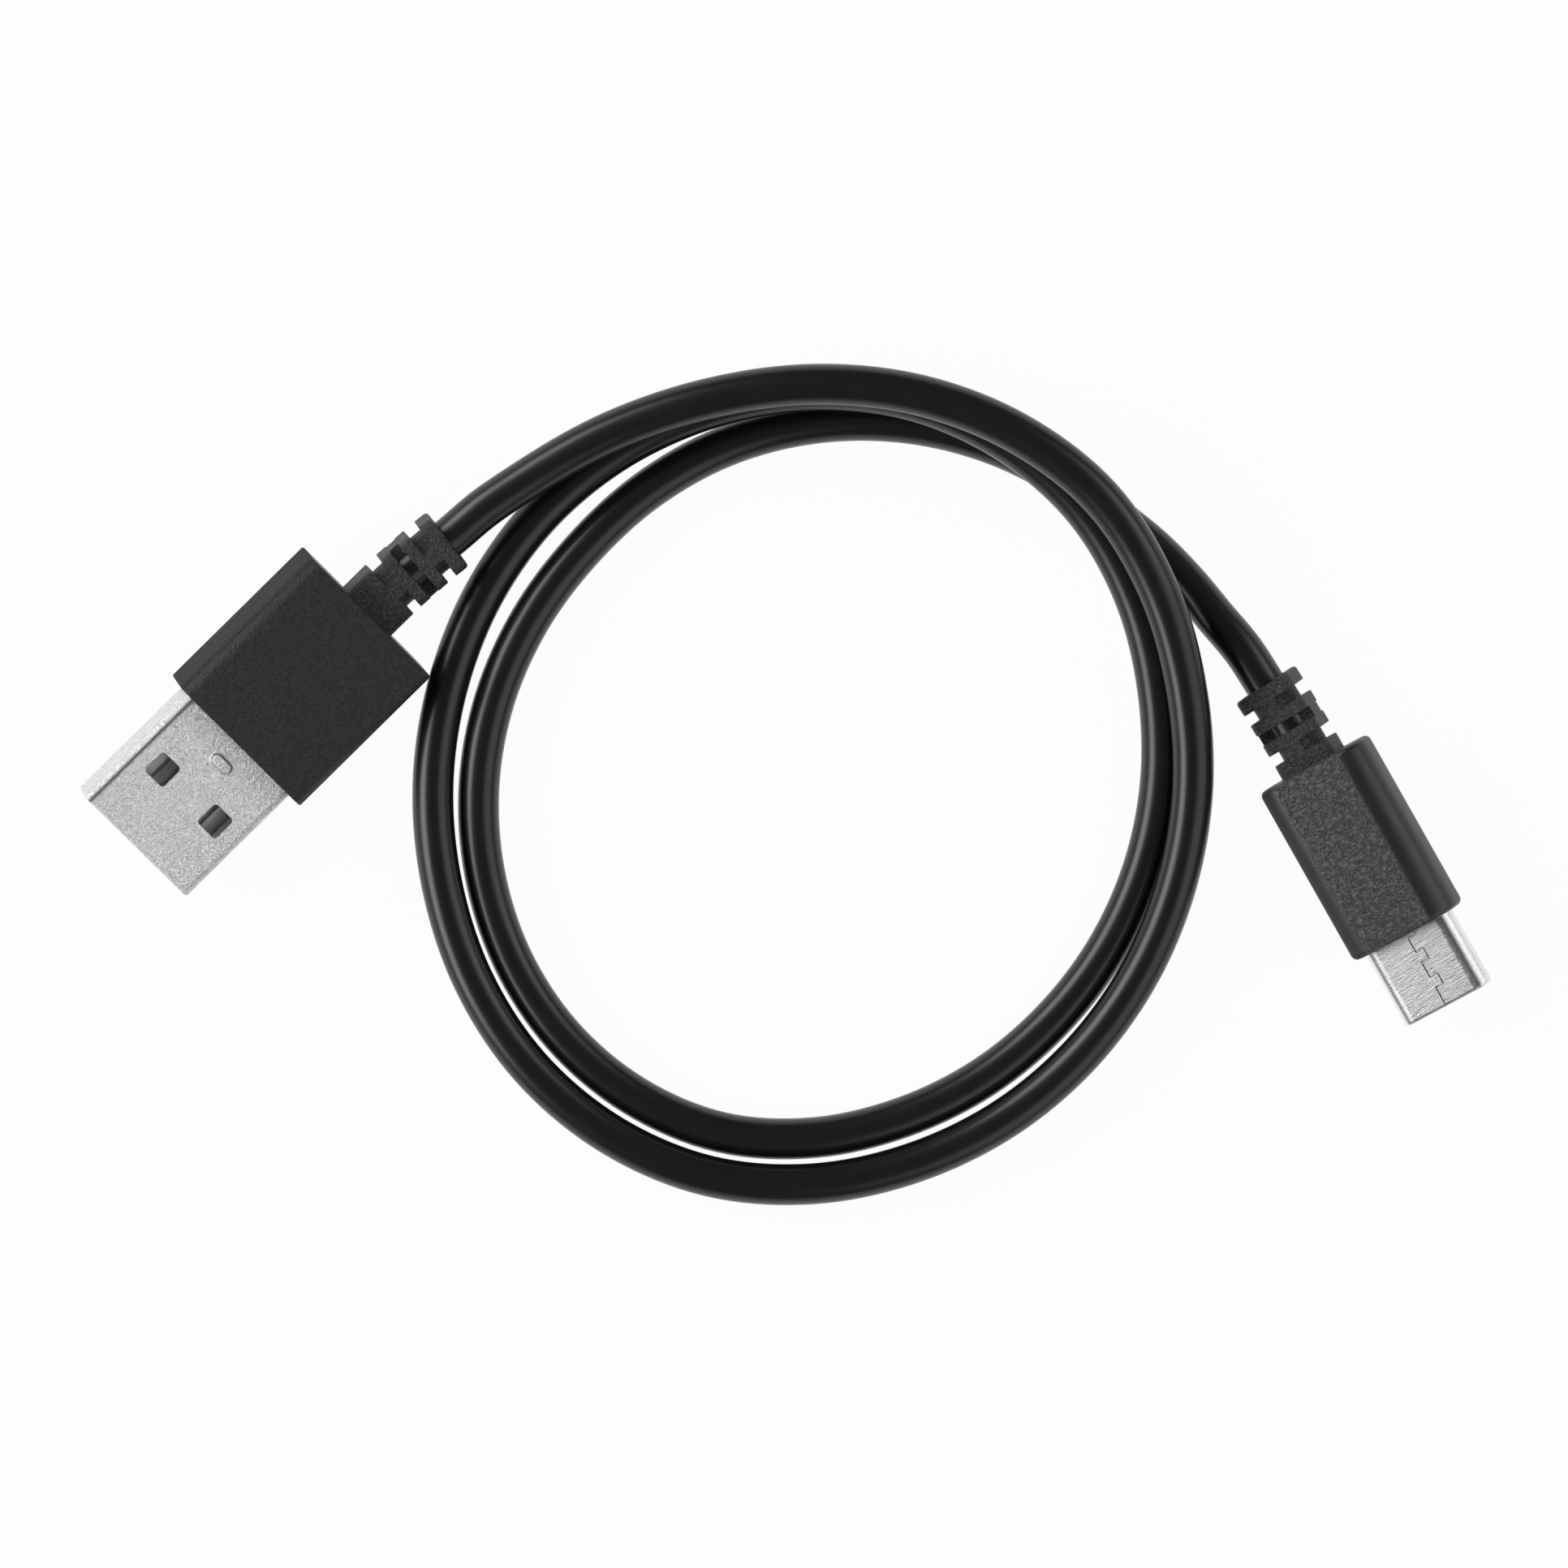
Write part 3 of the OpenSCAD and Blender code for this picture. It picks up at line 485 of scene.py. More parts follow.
def hollow_tube(name, line, radius, bore, sides):
    """A round tube with a bore, along a line."""
    skin = Skin()
    outer = tube_rings(line, radius, sides)
    inner = tube_rings(line, bore, sides)
    skin.tube([*outer, *reversed(inner)], closed=True)
    return skin.object(name, 50)


def rounded(width, height, corner, per_corner=10):
    """Outline of a rounded rectangle as (y, z), from the middle of its left side up and round."""
    outline = []
    for quarter, (sy, sz) in enumerate(((1, 1), (-1, 1), (-1, -1), (1, -1))):
        centre_y = sy * (width / 2 - corner)
        centre_z = sz * (height / 2 - corner)
        for k in range(per_corner + 1):
            angle = math.pi / 2 * (quarter + k / per_corner)
            outline.append((centre_y + corner * math.cos(angle), centre_z + corner * math.sin(angle)))
    return outline


def section_ring(x, outline):
    """The outline as a ring of points at a place along X."""
    return [Vector((x, y, z)) for y, z in outline]


def shrunk(width, height, corner, inset):
    """Outline of a rounded rectangle that is smaller all round."""
    return rounded(width - 2 * inset, height - 2 * inset, max(corner - inset, 0.02 * MM))


def rim(x, outward, radius, steps=4):
    """Places and insets of a rounded end edge; outward is 1 at a front end and -1 at a rear one.
    They run from the full section to the end face."""
    return [
        (x - outward * radius * (1 - math.sin(t)), radius * (1 - math.cos(t)))
        for t in (math.pi / 2 * k / steps for k in range(steps + 1))
    ]


def applied(piece):
    """Bakes the piece's modifiers into its mesh."""
    evaluated = piece.evaluated_get(bpy.context.evaluated_depsgraph_get())
    mesh = bpy.data.meshes.new_from_object(evaluated)
    old = piece.data
    piece.modifiers.clear()
    piece.data = mesh
    mesh.name = old.name
    bpy.data.meshes.remove(old)
    return piece


def carve(piece, tool):
    """Cuts the tool's closed solids out of the piece, and removes the tool."""
    modifier = piece.modifiers.new("cut", "BOOLEAN")
    modifier.operation = "DIFFERENCE"
    modifier.solver = "EXACT"
    modifier.object = tool
    bpy.context.view_layer.update()
    applied(piece)
    discard(tool)
    if not piece.data.polygons:
        raise RuntimeError(f"nothing is left of {piece.name} after its cuts")


def join(piece, other):
    """Adds another object's mesh to the piece, and removes the other."""
    both = bmesh.new()
    both.from_mesh(piece.data)
    both.from_mesh(other.data)
    both.to_mesh(piece.data)
    both.free()
    discard(other)


def discard(piece):
    """Removes an object and its mesh."""
    mesh = piece.data
    bpy.data.objects.remove(piece)
    bpy.data.meshes.remove(mesh)


def soften(piece, width):
    """Rounds the sharp edges a little, so that they catch the light, and keeps flat faces flat."""
    bevel = piece.modifiers.new("edges", "BEVEL")
    bevel.width = width
    bevel.segments = 2
    bevel.limit_method = "ANGLE"
    bevel.angle_limit = math.radians(50)
    bevel.use_clamp_overlap = True
    bevel.harden_normals = True
    normals = piece.modifiers.new("normals", "WEIGHTED_NORMAL")
    normals.keep_sharp = True
    normals.weight = 90
    return applied(piece)


def prism(skin, outline, low, high):
    """Adds an upright prism over an (x, y) outline that runs counterclockwise."""
    bottom = skin.ring([Vector((x, y, low)) for x, y in outline])
    top = skin.ring([Vector((x, y, high)) for x, y in outline])
    skin.bridge(bottom, top)
    skin.cap(bottom, flip=True)
    skin.cap(top)


def ribbon(line, width):
    """Outline of a narrow band along an (x, y) line, counterclockwise for a line toward +X."""
    sides = []
    for sign in (-1, 1):
        edge = []
        for i, (x, y) in enumerate(line):
            x0, y0 = line[max(i - 1, 0)]
            x1, y1 = line[min(i + 1, len(line) - 1)]
            way = Vector((x1 - x0, y1 - y0)).normalized()
            edge.append((x - sign * way.y * width / 2, y + sign * way.x * width / 2))
        sides.append(edge)
    return [*sides[0], *reversed(sides[1])]


# ---- Shader arithmetic ----------------------------------------------------------------------


class Value:
    """A shader socket on which Python arithmetic adds Math nodes."""

    def __init__(self, paint, socket):
        self.paint = paint
        self.socket = socket

    def math(self, operation, *others, swap=False):
        terms = [self, *others]
        if swap:
            terms.reverse()
        return self.paint.node("Math", dict(enumerate(terms)), operation=operation)

    def __add__(self, other):
        return self.math("ADD", other)

    def __sub__(self, other):
        return self.math("SUBTRACT", other)

    def __rsub__(self, other):
        return self.math("SUBTRACT", other, swap=True)

    def __mul__(self, other):
        return self.math("MULTIPLY", other)

    __radd__ = __add__
    __rmul__ = __mul__

    def between(self, low, high):
        """0 at low, 1 at high, and smooth between them."""
        inputs = {"Value": self, "From Min": low, "From Max": high}
        return self.paint.node("MapRange", inputs, interpolation_type="SMOOTHSTEP")

    def near(self, middle, reach):
        """1 at the middle, and smoothly down to 0 at the reach on both sides of it."""
        return self.between(middle - reach, middle) * (1 - self.between(middle, middle + reach))


class Paint:
    """A material in the making, on one Principled shader."""

    def __init__(self, name, **constants):
        self.material = bpy.data.materials.new(name)
        self.material.use_nodes = True
        self.nodes = self.material.node_tree.nodes
        self.links = self.material.node_tree.links
        self.shader = self.nodes["Principled BSDF"]
        for key, value in constants.items():
            self.shader.inputs[key.replace("_", " ").title().replace("Ior", "IOR")].default_value = value

    def node(self, kind, inputs=None, output=0, **settings):
        """Adds a shader node, and gives one of its outputs as a Value."""
        made = self.nodes.new(f"ShaderNode{kind}")
        for key, value in settings.items():
            setattr(made, key, value)
        for key, value in (inputs or {}).items():
            self.feed(made.inputs[key], value)
        return Value(self, made.outputs[output])

    def feed(self, socket, value):
        if isinstance(value, Value):
            self.links.new(value.socket, socket)
        else:
            socket.default_value = value

    def millimetres(self, stretch=(1, 1, 1)):
        """Place on the piece in millimetres, divided by a stretch along each axis."""
        place = self.node("TexCoord", output="Object")
        scale = Vector(1000 / s for s in stretch)
        return self.node("VectorMath", {0: place, 1: scale}, operation="MULTIPLY")

    def noise(self, place, per_mm, detail=2.0, roughness=0.5, distortion=0.0):
        inputs = {
            "Vector": place, "Scale": per_mm, "Detail": detail, "Roughness": roughness,
            "Distortion": distortion,
        }
        return self.node("TexNoise", inputs)

    def axis(self, name):
        """Place along one axis of the piece, in millimetres."""
        return self.node("SeparateXYZ", {"Vector": self.millimetres()}, output=name)

    def across(self):
        """Distance from the middle of a plug, in millimetres across its width."""
        return self.axis("Y").math("ABSOLUTE")

    def mix(self, factor, a, b):
        """Colour between a and b."""
        made = self.nodes.new("ShaderNodeMix")
        made.data_type = "RGBA"
        sockets = {s.identifier: s for s in made.inputs}
        self.feed(sockets["Factor_Float"], factor)
        for name, tone in (("A_Color", a), ("B_Color", b)):
            self.feed(sockets[name], tone if isinstance(tone, Value) else (*tone, 1))
        return Value(self, next(s for s in made.outputs if s.identifier == "Result_Color"))

    def bump(self, height, depth_mm, strength=1.0):
        """Feeds the normal from a height, of which 1 stands for a depth in millimetres."""
        inputs = {"Height": height, "Distance": depth_mm * MM, "Strength": strength}
        self.feed(self.shader.inputs["Normal"], self.node("Bump", inputs, output="Normal"))
        return self

    def to(self, socket, value):
        self.feed(self.shader.inputs[socket], value)


def jacket_paint():
    """Satin black extruded jacket: smooth, with a faint flow and dust-fine grain."""
    paint = Paint("cord jacket", specular_ior_level=0.5)
    place = paint.millimetres()
    flow = paint.noise(place, 0.35, 3)
    grain = paint.noise(place, 14, 2)
    paint.to("Base Color", paint.mix(flow, grey(0.0045, 0.0001), grey(0.0065, 0.0002)))
    paint.to("Roughness", 0.24 + 0.06 * flow + 0.06 * grain)
    return paint.bump(grain * 0.5 + paint.noise(place, 1.3, 2) * 0.5, 0.006, 0.35).material


def relief_paint():
    """Black rubber with the coarse bright speckle of a spark-eroded mould."""
    paint = Paint("relief grain", specular_ior_level=0.6)
    place = paint.millimetres()
    grain = paint.noise(place, 5, 3, 0.65, 0.4)
    patches = paint.noise(place, 0.9, 2)
    speckle = grain.between(0.4, 0.64)
    paint.to("Base Color", paint.mix(speckle, grey(0.004, 0.0001), grey(0.056, 0.0005)))
    paint.to("Roughness", 0.42 + 0.12 * patches)
    return paint.bump(grain, 0.3, 1).material


def charger_grip_paint():
    """Black rubber with a fine, nearly smooth grain."""
    paint = Paint("charger grip grain", specular_ior_level=0.35)
    place = paint.millimetres()
    grain = paint.noise(place, 6, 3, 0.6, 0.3)
    patches = paint.noise(place, 0.5, 3)
    # The side walls are duller than the face, and the corner between them is worn smoother
    side = paint.across().between(6.7, 7)
    speckle = grain.between(0.34, 0.66)
    paint.to("Base Color", paint.mix(speckle, grey(0.01, 0.0002), grey(0.031, 0.0003)))
    corner = paint.across().near(6.3, 0.7)
    paint.to("Roughness", 0.44 + 0.08 * patches + 0.36 * side - 0.14 * corner)
    return paint.bump(grain, 0.11, 0.9).material


def phone_grip_paint():
    """Black rubber with a wrinkled, leather-like grain of short wavy lines."""
    paint = Paint("phone grip grain", specular_ior_level=0.75)
    place = paint.millimetres((1, 1.5, 1))
    bend = paint.noise(place, 1.6, 2)
    wrinkles = paint.noise(place, 3.6, 3, 0.55, 1.2)
    patches = paint.noise(place, 0.6, 3)
    # The wrinkles fade out toward the side walls, and the raised side is duller
    face = 1 - paint.across().between(2.8, 3.4)
    crests = wrinkles.between(0.41, 0.62) * face
    paint.to("Base Color", paint.mix(crests, grey(0.002, 0.0001), grey(0.068, 0.0003)))
    raised = (0 - paint.axis("Y")).between(3, 4)
    paint.to("Roughness", 0.4 + 0.1 * patches + 0.34 * raised)
    return paint.bump((wrinkles * 0.85 + bend * 0.15 - 0.5) * face, 0.3, 1).material


def crease(paint, plug):
    """Mask of the painted dark reflection along the crease round the dimple's crown: 1 there, weaker toward
    the shell's mouth.
    """
    s = plug.set
    along = paint.axis("X") - (plug.front - s.dimple_setback) / MM
    beyond = (paint.across() - (s.dimple_length - s.dimple_width) / 2 / MM).math("MAXIMUM", 0)
    away = (along * along + beyond * beyond).math("SQRT")
    weight = 0.45 + 0.55 * (1 - along.between(-0.25, 0.25))
    return away.near(s.dimple_width / 2 / MM, 0.13) * weight * paint.axis("Z").between(0, 0.5)


def charger_steel_paint(plug):
    """Nickel-plated steel with a very fine wormy satin grain, and painted dark reflections along its edges
    and round its dimple.
    """
    paint = Paint("charger shell steel", metallic=1.0)
    place = paint.millimetres()
    worms = paint.noise(place, 4.5, 3, 0.6, 2.2)
    clouds = paint.noise(place, 0.35, 3)
    satin = paint.mix(worms.between(0.34, 0.66), grey(0.56, -0.005), grey(0.96, -0.005))
    # Painted dark reflections where the flat face turns into its corners, stronger on the raised side
    sideways, turns_at = paint.axis("Y"), 5.5
    edge = sideways.near(-turns_at, 0.3) + 0.3 * sideways.near(turns_at, 0.2)
    satin_with_painted_lines = paint.mix(edge, satin, grey(0.16))
    # Painted dark reflection along the crease round the dimple's crown
    paint.to("Base Color", paint.mix(crease(paint, plug), satin_with_painted_lines, grey(0.1)))
    paint.to("Roughness", 0.36 + 0.1 * worms + 0.04 * clouds)
    return paint.bump(worms, 0.09, 1).material


def phone_steel_paint():
    """Nickel-plated steel with fine streaks across its width, and painted reflections at its rounded ends.
    """
    paint = Paint("phone shell steel", metallic=1.0)
    place = paint.millimetres((0.12, 1.4, 1))
    streaks = paint.noise(place, 1.3, 4, 0.65, 0.2)
    clouds = paint.noise(paint.millimetres(), 0.4, 3)
    rolled = paint.mix(streaks.between(0.3, 0.7), grey(0.38), grey(0.56))
    # Painted reflections: a dark line where the flat face turns into the rounded ends, and a brighter
    # colour on the rounded ends beyond it
    rolled = paint.mix(paint.across().between(3.5, 3.75), rolled, grey(0.86))
    edge = paint.across().near(3.45, 0.2)
    paint.to("Base Color", paint.mix(edge, rolled, grey(0.28)))
    paint.to("Roughness", 0.24 + 0.12 * streaks + 0.08 * clouds)
    return paint.bump(streaks, 0.035, 0.9).material


def metal_paint(name, low, high, roughness, per_mm):
    """Plain metal with clouds in its colour and a rolled grain in its shine."""
    paint = Paint(name, metallic=1.0)
    place = paint.millimetres()
    rolled = paint.noise(paint.millimetres((3, 0.4, 0.4)), per_mm, 3)
    paint.to("Base Color", paint.mix(paint.noise(place, 0.8, 2), low, high))
    paint.to("Roughness", roughness + 0.12 * rolled)
    return paint.bump(rolled, 0.006, 0.4).material


def plastic_paint(name, low, high, roughness, per_mm=4.0, depth_mm=0.008):
    """Moulded plastic or insulation: clouds in its colour and a fine grain."""
    paint = Paint(name)
    place = paint.millimetres()
    grain = paint.noise(place, per_mm, 3)
    paint.to("Base Color", paint.mix(paint.noise(place, 0.5, 3), low, high))
    paint.to("Roughness", roughness + 0.1 * grain)
    return paint.bump(grain, depth_mm, 0.4).material


def board_paint():
    """Green solder resist over the weave of a glass-fibre board."""
    paint = Paint("circuit board", coat_weight=0.3, coat_roughness=0.15)
    place = paint.millimetres()
    inputs = {"Vector": place, "Scale": 1.6, "Distortion": 1.5, "Detail": 1.0}
    weave = paint.node("TexWave", inputs, output="Fac")
    paint.to("Base Color", paint.mix(weave, (0.004, 0.045, 0.018), (0.01, 0.09, 0.035)))
    paint.to("Roughness", 0.3 + 0.1 * paint.noise(place, 3))
    return paint.bump(weave, 0.01, 0.4).material


def wire_paint(name):
    """Smooth coloured insulation."""
    tones = {
        "red": ((0.42, 0.012, 0.01), (0.52, 0.02, 0.016)),
        "black": (grey(0.012, 0.001), grey(0.02, 0.001)),
        "white": (grey(0.66, -0.03), grey(0.75, -0.03)),
        "green": ((0.01, 0.18, 0.05), (0.016, 0.24, 0.07)),
    }
    return plastic_paint(f"{name} insulation", *tones[name], 0.35)


def finish(piece, material):
    """Gives the piece its only material."""
    piece.data.materials.clear()
    piece.data.materials.append(material)
    return piece


# ---- Operators ------------------------------------------------------------------------------


class CABLE_OT_stage(bpy.types.Operator):
    """Make the camera, the lamps, the world and the table"""

    bl_idname = "cable.stage"
    bl_label = "Stage"

    def execute(self, context):
        settings = context.scene.cable_stage
        context.scene.view_settings.view_transform = "Standard"
        self.camera(context, settings)
        self.lamps(context)
        self.world(context, settings)
        self.table(settings)
        return {"FINISHED"}

    def camera(self, context, settings):
        data = bpy.data.cameras.new("camera")
        data.lens = settings.lens
        data.sensor_width = settings.sensor
        camera = bpy.data.objects.new("camera", data)
        context.scene.collection.objects.link(camera)
        distance = settings.view_width * settings.lens / settings.sensor
        camera.location = (0, settings.view_y, settings.view_height + distance)
        context.scene.camera = camera

    def lamps(self, context):
        """A long low soft box on the left, a broad weak one on the right and a small one behind that.
        Each stands a metre from the middle, at a bearing and a climb in degrees."""
        boxes = (
            ("key", 172, 32, (1.7, 0.5), 14.0),
            ("fill", -20, 38, (1.8, 0.8), 5.0),
            ("rear", 32, 30, (0.5, 0.4), 0.9),
        )
        for name, bearing, climb, shape, power in boxes:
            around, up = math.radians(bearing), math.radians(climb)
            level = math.cos(up)
            place = (level * math.cos(around), level * math.sin(around), math.sin(up))
            data = bpy.data.lights.new(name, "AREA")
            data.shape = "RECTANGLE"
            data.size, data.size_y = shape
            data.energy = power
            lamp = bpy.data.objects.new(name, data)
            context.scene.collection.objects.link(lamp)
            lamp.location = place
            lamp.rotation_mode = "QUATERNION"
            lamp.rotation_quaternion = (-Vector(place)).to_track_quat("-Z", "Y")

    def world(self, context, settings):
        """Even pale light from all round."""
        world = bpy.data.worlds.new("studio")
        world.use_nodes = True
        background = world.node_tree.nodes["Background"]
        background.inputs["Color"].default_value = (1, 1, 1, 1)
        background.inputs["Strength"].default_value = settings.world
        context.scene.world = world

    def table(self, settings):
        """A wide pale table: what the camera sees of it is nearly white, and keeps faint shadows."""
        half = settings.table / 2
        skin = Skin()
        corners = [Vector((x * half, y * half, 0)) for x, y in ((-1, -1), (1, -1), (1, 1), (-1, 1))]
        skin.cap(skin.ring(corners))
        table = skin.object("table")
        paint = Paint("white table", roughness=0.9, specular_ior_level=0.1)
        paint.shader.inputs["Base Color"].default_value = (*settings.table_colour, 1)
        rays = paint.node("LightPath", output="Is Camera Ray")
        glossy = paint.node("LightPath", output="Is Glossy Ray")
        through = paint.node("LightPath", output="Is Transmission Ray")
        seen = rays.math("MAXIMUM", glossy).math("MAXIMUM", through) * settings.table_glow
        white = paint.node("Emission", {"Color": (1, 1, 1, 1), "Strength": 1.0})
        shader = Value(paint, paint.shader.outputs["BSDF"])
        mixed = paint.node("MixShader", {0: seen, 1: shader, 2: white})
        paint.links.new(mixed.socket, paint.nodes["Material Output"].inputs["Surface"])
        finish(table, paint.material)


class CABLE_OT_cord(bpy.types.Operator):
    """Make the cord's jacket, the wires in it and the short stretches inside the reliefs"""

    bl_idname = "cable.cord"
    bl_label = "Cord"

    def execute(self, context):
        cord = context.scene.cable_cord
        both = plugs(context)
        line = curve_through(cord_points(both, cord), cord.step)
        jacket = jacket_paint()
        paints = {name: wire_paint(name) for name in COLOURS}
        self.free_cord(line, both, cord, jacket)
        for name in COLOURS:
            self.wire(name, line, both, cord, paints[name])
        for plug in both.values():
            self.held_stretch(plug, cord, jacket)
            for name in COLOURS:
                self.lead(name, plug, cord, paints[name])
        return {"FINISHED"}

    def free_cord(self, line, both, cord, jacket):
        radius = cord.diameter / 2
        piece = hollow_tube("cord", line, radius, radius - cord.wall, cord.sides)
        finish(piece, jacket)
        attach(piece, "cord")
        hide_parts("cord_tail_charger_end", "cord_loops", "cord_tail_phone_end")
        leaves = both["charger"].axis_point(both["charger"].end_at)
        length_of(line)

    def wire(self, name, line, both, cord, paint):
        """One wire, from the far notch of one relief to that of the other."""
        charger, phone = both["charger"], both["phone"]
        whole = [
            charger.axis_point(charger.far_at + HALF_GAP), *line,
            phone.axis_point(phone.far_at + HALF_GAP),
        ]
        left, above = (place * cord.wire_offset for place in WIRE_PLACES[name])
        piece = solid_tube(f"{name}_wire_in_cord", beside(whole, left, above), cord.wire / 2, WIRE_SIDES)
        finish(piece, paint)
        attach(piece, "cord")
        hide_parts(f"{name}_wire")

    def held_stretch(self, plug, cord, jacket):
        """The jacket inside the relief, in two stretches that meet in the slot, and on into the plug."""
        radius = cord.diameter / 2
        bore = radius - cord.wall
        outer = stretch(plug, plug.end_at - cord.inset, plug.slot_at)
        inner = stretch(plug, plug.slot_at, -INTO_GRIP)
        sleeve = hollow_tube(f"{plug.name}_plug_jacket_in_relief", outer, radius, bore, cord.sides)
        finish(sleeve, jacket)
        bend_outer(sleeve, plug)
        end = hollow_tube(f"{plug.name}_plug_jacket_in_grip", inner, radius, bore, cord.sides)
        finish(end, jacket)
        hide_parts(f"{plug.name}_plug_jacket_end")
        bend_inner(end, plug)

    def lead(self, name, plug, cord, paint):
        """One lead, from the far notch through the relief to its solder joint."""
        node = f"{plug.name}_plug_{name}_lead"
        run = stretch(plug, plug.far_at - HALF_GAP, -INTO_GRIP)
        left, above = (place * cord.wire_offset for place in WIRE_PLACES[name])
        if plug.name == "charger":
            left = -left
        inside = beside(run, left, above)
        end = self.joint_point(node, plug)
        place = plug.place()
        before = place @ (end - Vector((SOLDERED, 0, 0)))
        line = curve_through([*inside, before, place @ end], LEAD_STEP)
        piece = solid_tube(f"{node}_in_grip", line, cord.wire / 2, WIRE_SIDES)
        finish(piece, paint)
        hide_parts(node)
        bend_inner(piece, plug)

    def joint_point(self, node, plug):
        """The middle of the lead's soldered end, in the plug's frame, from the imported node."""
        into_plug = plug.place().inverted()
        local = [into_plug @ v.co for v in frame["nodes"][node].data.vertices]
        far = max(p.x for p in local)
        tip = [p for p in local if p.x > far - LEAD_TIP]
        return sum(tip, Vector()) / len(tip)


def stretch(plug, start, stop):
    """Points of the plug's axis from one place behind the grip's rear face to another."""
    count = max(int(abs(stop - start) / LEAD_STEP), 2)
    return [plug.axis_point(start + (stop - start) * i / count) for i in range(count + 1)]


def bend_outer(piece, plug):
    """Bakes the piece's place into its mesh; it does not bend the piece about the far notch."""
    half = plug.end_at - plug.far_at
    way = plug.way(2)
    plug.far - half * way
    plug.far + half * way
    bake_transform(piece)


def bend_inner(piece, plug):
    """Bakes the piece's place into its mesh; it does not bend the piece about the near notch."""
    half = min(plug.near_at, plug.slot_at - plug.near_at)
    way = plug.way(0.5)
    plug.near - half * way
    plug.near + half * way
    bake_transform(piece)


# Walls of a cut in a strain relief, as shares of its edge rounding: place into the cut, and depth
CUT_EDGE = ((-2.5, 0), (-1, 0), (-0.6, 0.09), (-0.2, 0.4), (0, 1))
# Where the wall meets the floor: place into the cut of the fillet and of the floor
CUT_FOOT = (0.12, 0.6)
# How far the slot's floor lies under the jacket's surface, and how far the end bore clears it
UNDER_JACKET = 0.12 * MM
ROUND_JACKET = 0.03 * MM
# A relief starts inside its grip, and ends in a rounded lip round a short bore
RELIEF_INTO_GRIP = 0.3 * MM
RELIEF_LIP = 0.3 * MM
RELIEF_BORE = 0.6 * MM


class CABLE_OT_reliefs(bpy.types.Operator):
    """Make both notched strain reliefs, each in two halves that meet in the slot"""

    bl_idname = "cable.reliefs"
    bl_label = "Strain reliefs"

    def execute(self, context):
        relief = context.scene.cable_relief
        cord = context.scene.cable_cord
        paint = relief_paint()
        for plug in plugs(context).values():
            outer, inner = self.halves(plug, relief, cord)
            for piece in (outer, inner):
                finish(piece, paint)
                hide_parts(f"{plug.name}_plug_strain_relief")
            bend_outer(outer, plug)
            bend_inner(inner, plug)
        return {"FINISHED"}

    def halves(self, plug, relief, cord):
        """Rings along the relief; each is a list of radii round its axis, at a place behind the grip."""
        angles = [2 * math.pi * k / relief.sides for k in range(relief.sides)]
        full = [across_rounded(relief.width, relief.height, relief.corner, a) for a in angles]
        notch = [
            max(relief.core / 2, min(f, across_box(relief.web, relief.height, a)))
            for f, a in zip(full, angles)
        ]
        hidden = cord.diameter / 2 - UNDER_JACKET
        slot = [
            max(hidden, min(f, across_box(relief.width, relief.bar, a))) for f, a in zip(full, angles)
        ]
        cuts = [
            (plug.near_at, relief.notch, notch),
            (plug.slot_at, relief.slot, slot),
            (plug.far_at, relief.notch, notch),
        ]
        rings = [(-RELIEF_INTO_GRIP, full)]
        for middle, width, floor in cuts:
            rings += self.cut_rings(middle - width / 2, 1, full, floor, relief.edge)
            rings.append((middle, floor))
            rings += reversed(self.cut_rings(middle + width / 2, -1, full, floor, relief.edge))
        bore = [cord.diameter / 2 + ROUND_JACKET] * len(angles)
        for back, inset in rim(plug.end_at, 1, RELIEF_LIP):
            rings.append((back, [f - inset for f in full]))
        rings += [(plug.end_at, bore), (plug.end_at - RELIEF_BORE, bore)]
        split = next(i for i, (back, _) in enumerate(rings) if abs(back - plug.slot_at) < TINY)
        return (
            self.half(f"{plug.name}_plug_relief_outer_half", plug, rings[split:], angles),
            self.half(f"{plug.name}_plug_relief_inner_half", plug, rings[: split + 1], angles),
        )

    def cut_rings(self, start, into, full, floor, edge):
        """Rings at one wall of a cut: the surface, its rounded edge, the wall and the floor."""
        rings = []
        for place, depth in CUT_EDGE:
            lowered = [max(f - depth * edge, g) for f, g in zip(full, floor)] if depth else full
            rings.append((start + into * place * edge, lowered))
        fillet = [min(g + edge / 2, f) for f, g in zip(full, floor)]
        for place, radii in zip(CUT_FOOT, (fillet, floor)):
            rings.append((start + into * place * edge, radii))
        return rings

    def half(self, name, plug, rings, angles):
        skin = Skin()
        made = []
        for back, radii in rings:
            place = plug.place(back)
            made.append(skin.ring([
                place @ Vector((0, r * math.cos(a), r * math.sin(a))) for r, a in zip(radii, angles)
            ]))
        for a, b in zip(made, made[1:]):
            skin.bridge(b, a)
        return skin.object(name, 38)


def across_rounded(width, height, corner, angle):
    """Distance from the middle of a rounded rectangle to its edge."""
    y, z = abs(math.cos(angle)), abs(math.sin(angle))
    side = width / 2 / max(y, TINY)
    if side * z <= height / 2 - corner:
        return side
    top = height / 2 / max(z, TINY)
    if top * y <= width / 2 - corner:
        return top
    cy, cz = width / 2 - corner, height / 2 - corner
    along = y * cy + z * cz
    return along + math.sqrt(max(along * along - cy * cy - cz * cz + corner * corner, 0))


def across_box(width, height, angle):
    """Distance from the middle of a rectangle to its edge."""
    y, z = abs(math.cos(angle)), abs(math.sin(angle))
    return min(width / 2 / max(y, TINY), height / 2 / max(z, TINY))


# Depth of a grip's hole round its shell
HOLE_DEPTH = 1.5 * MM


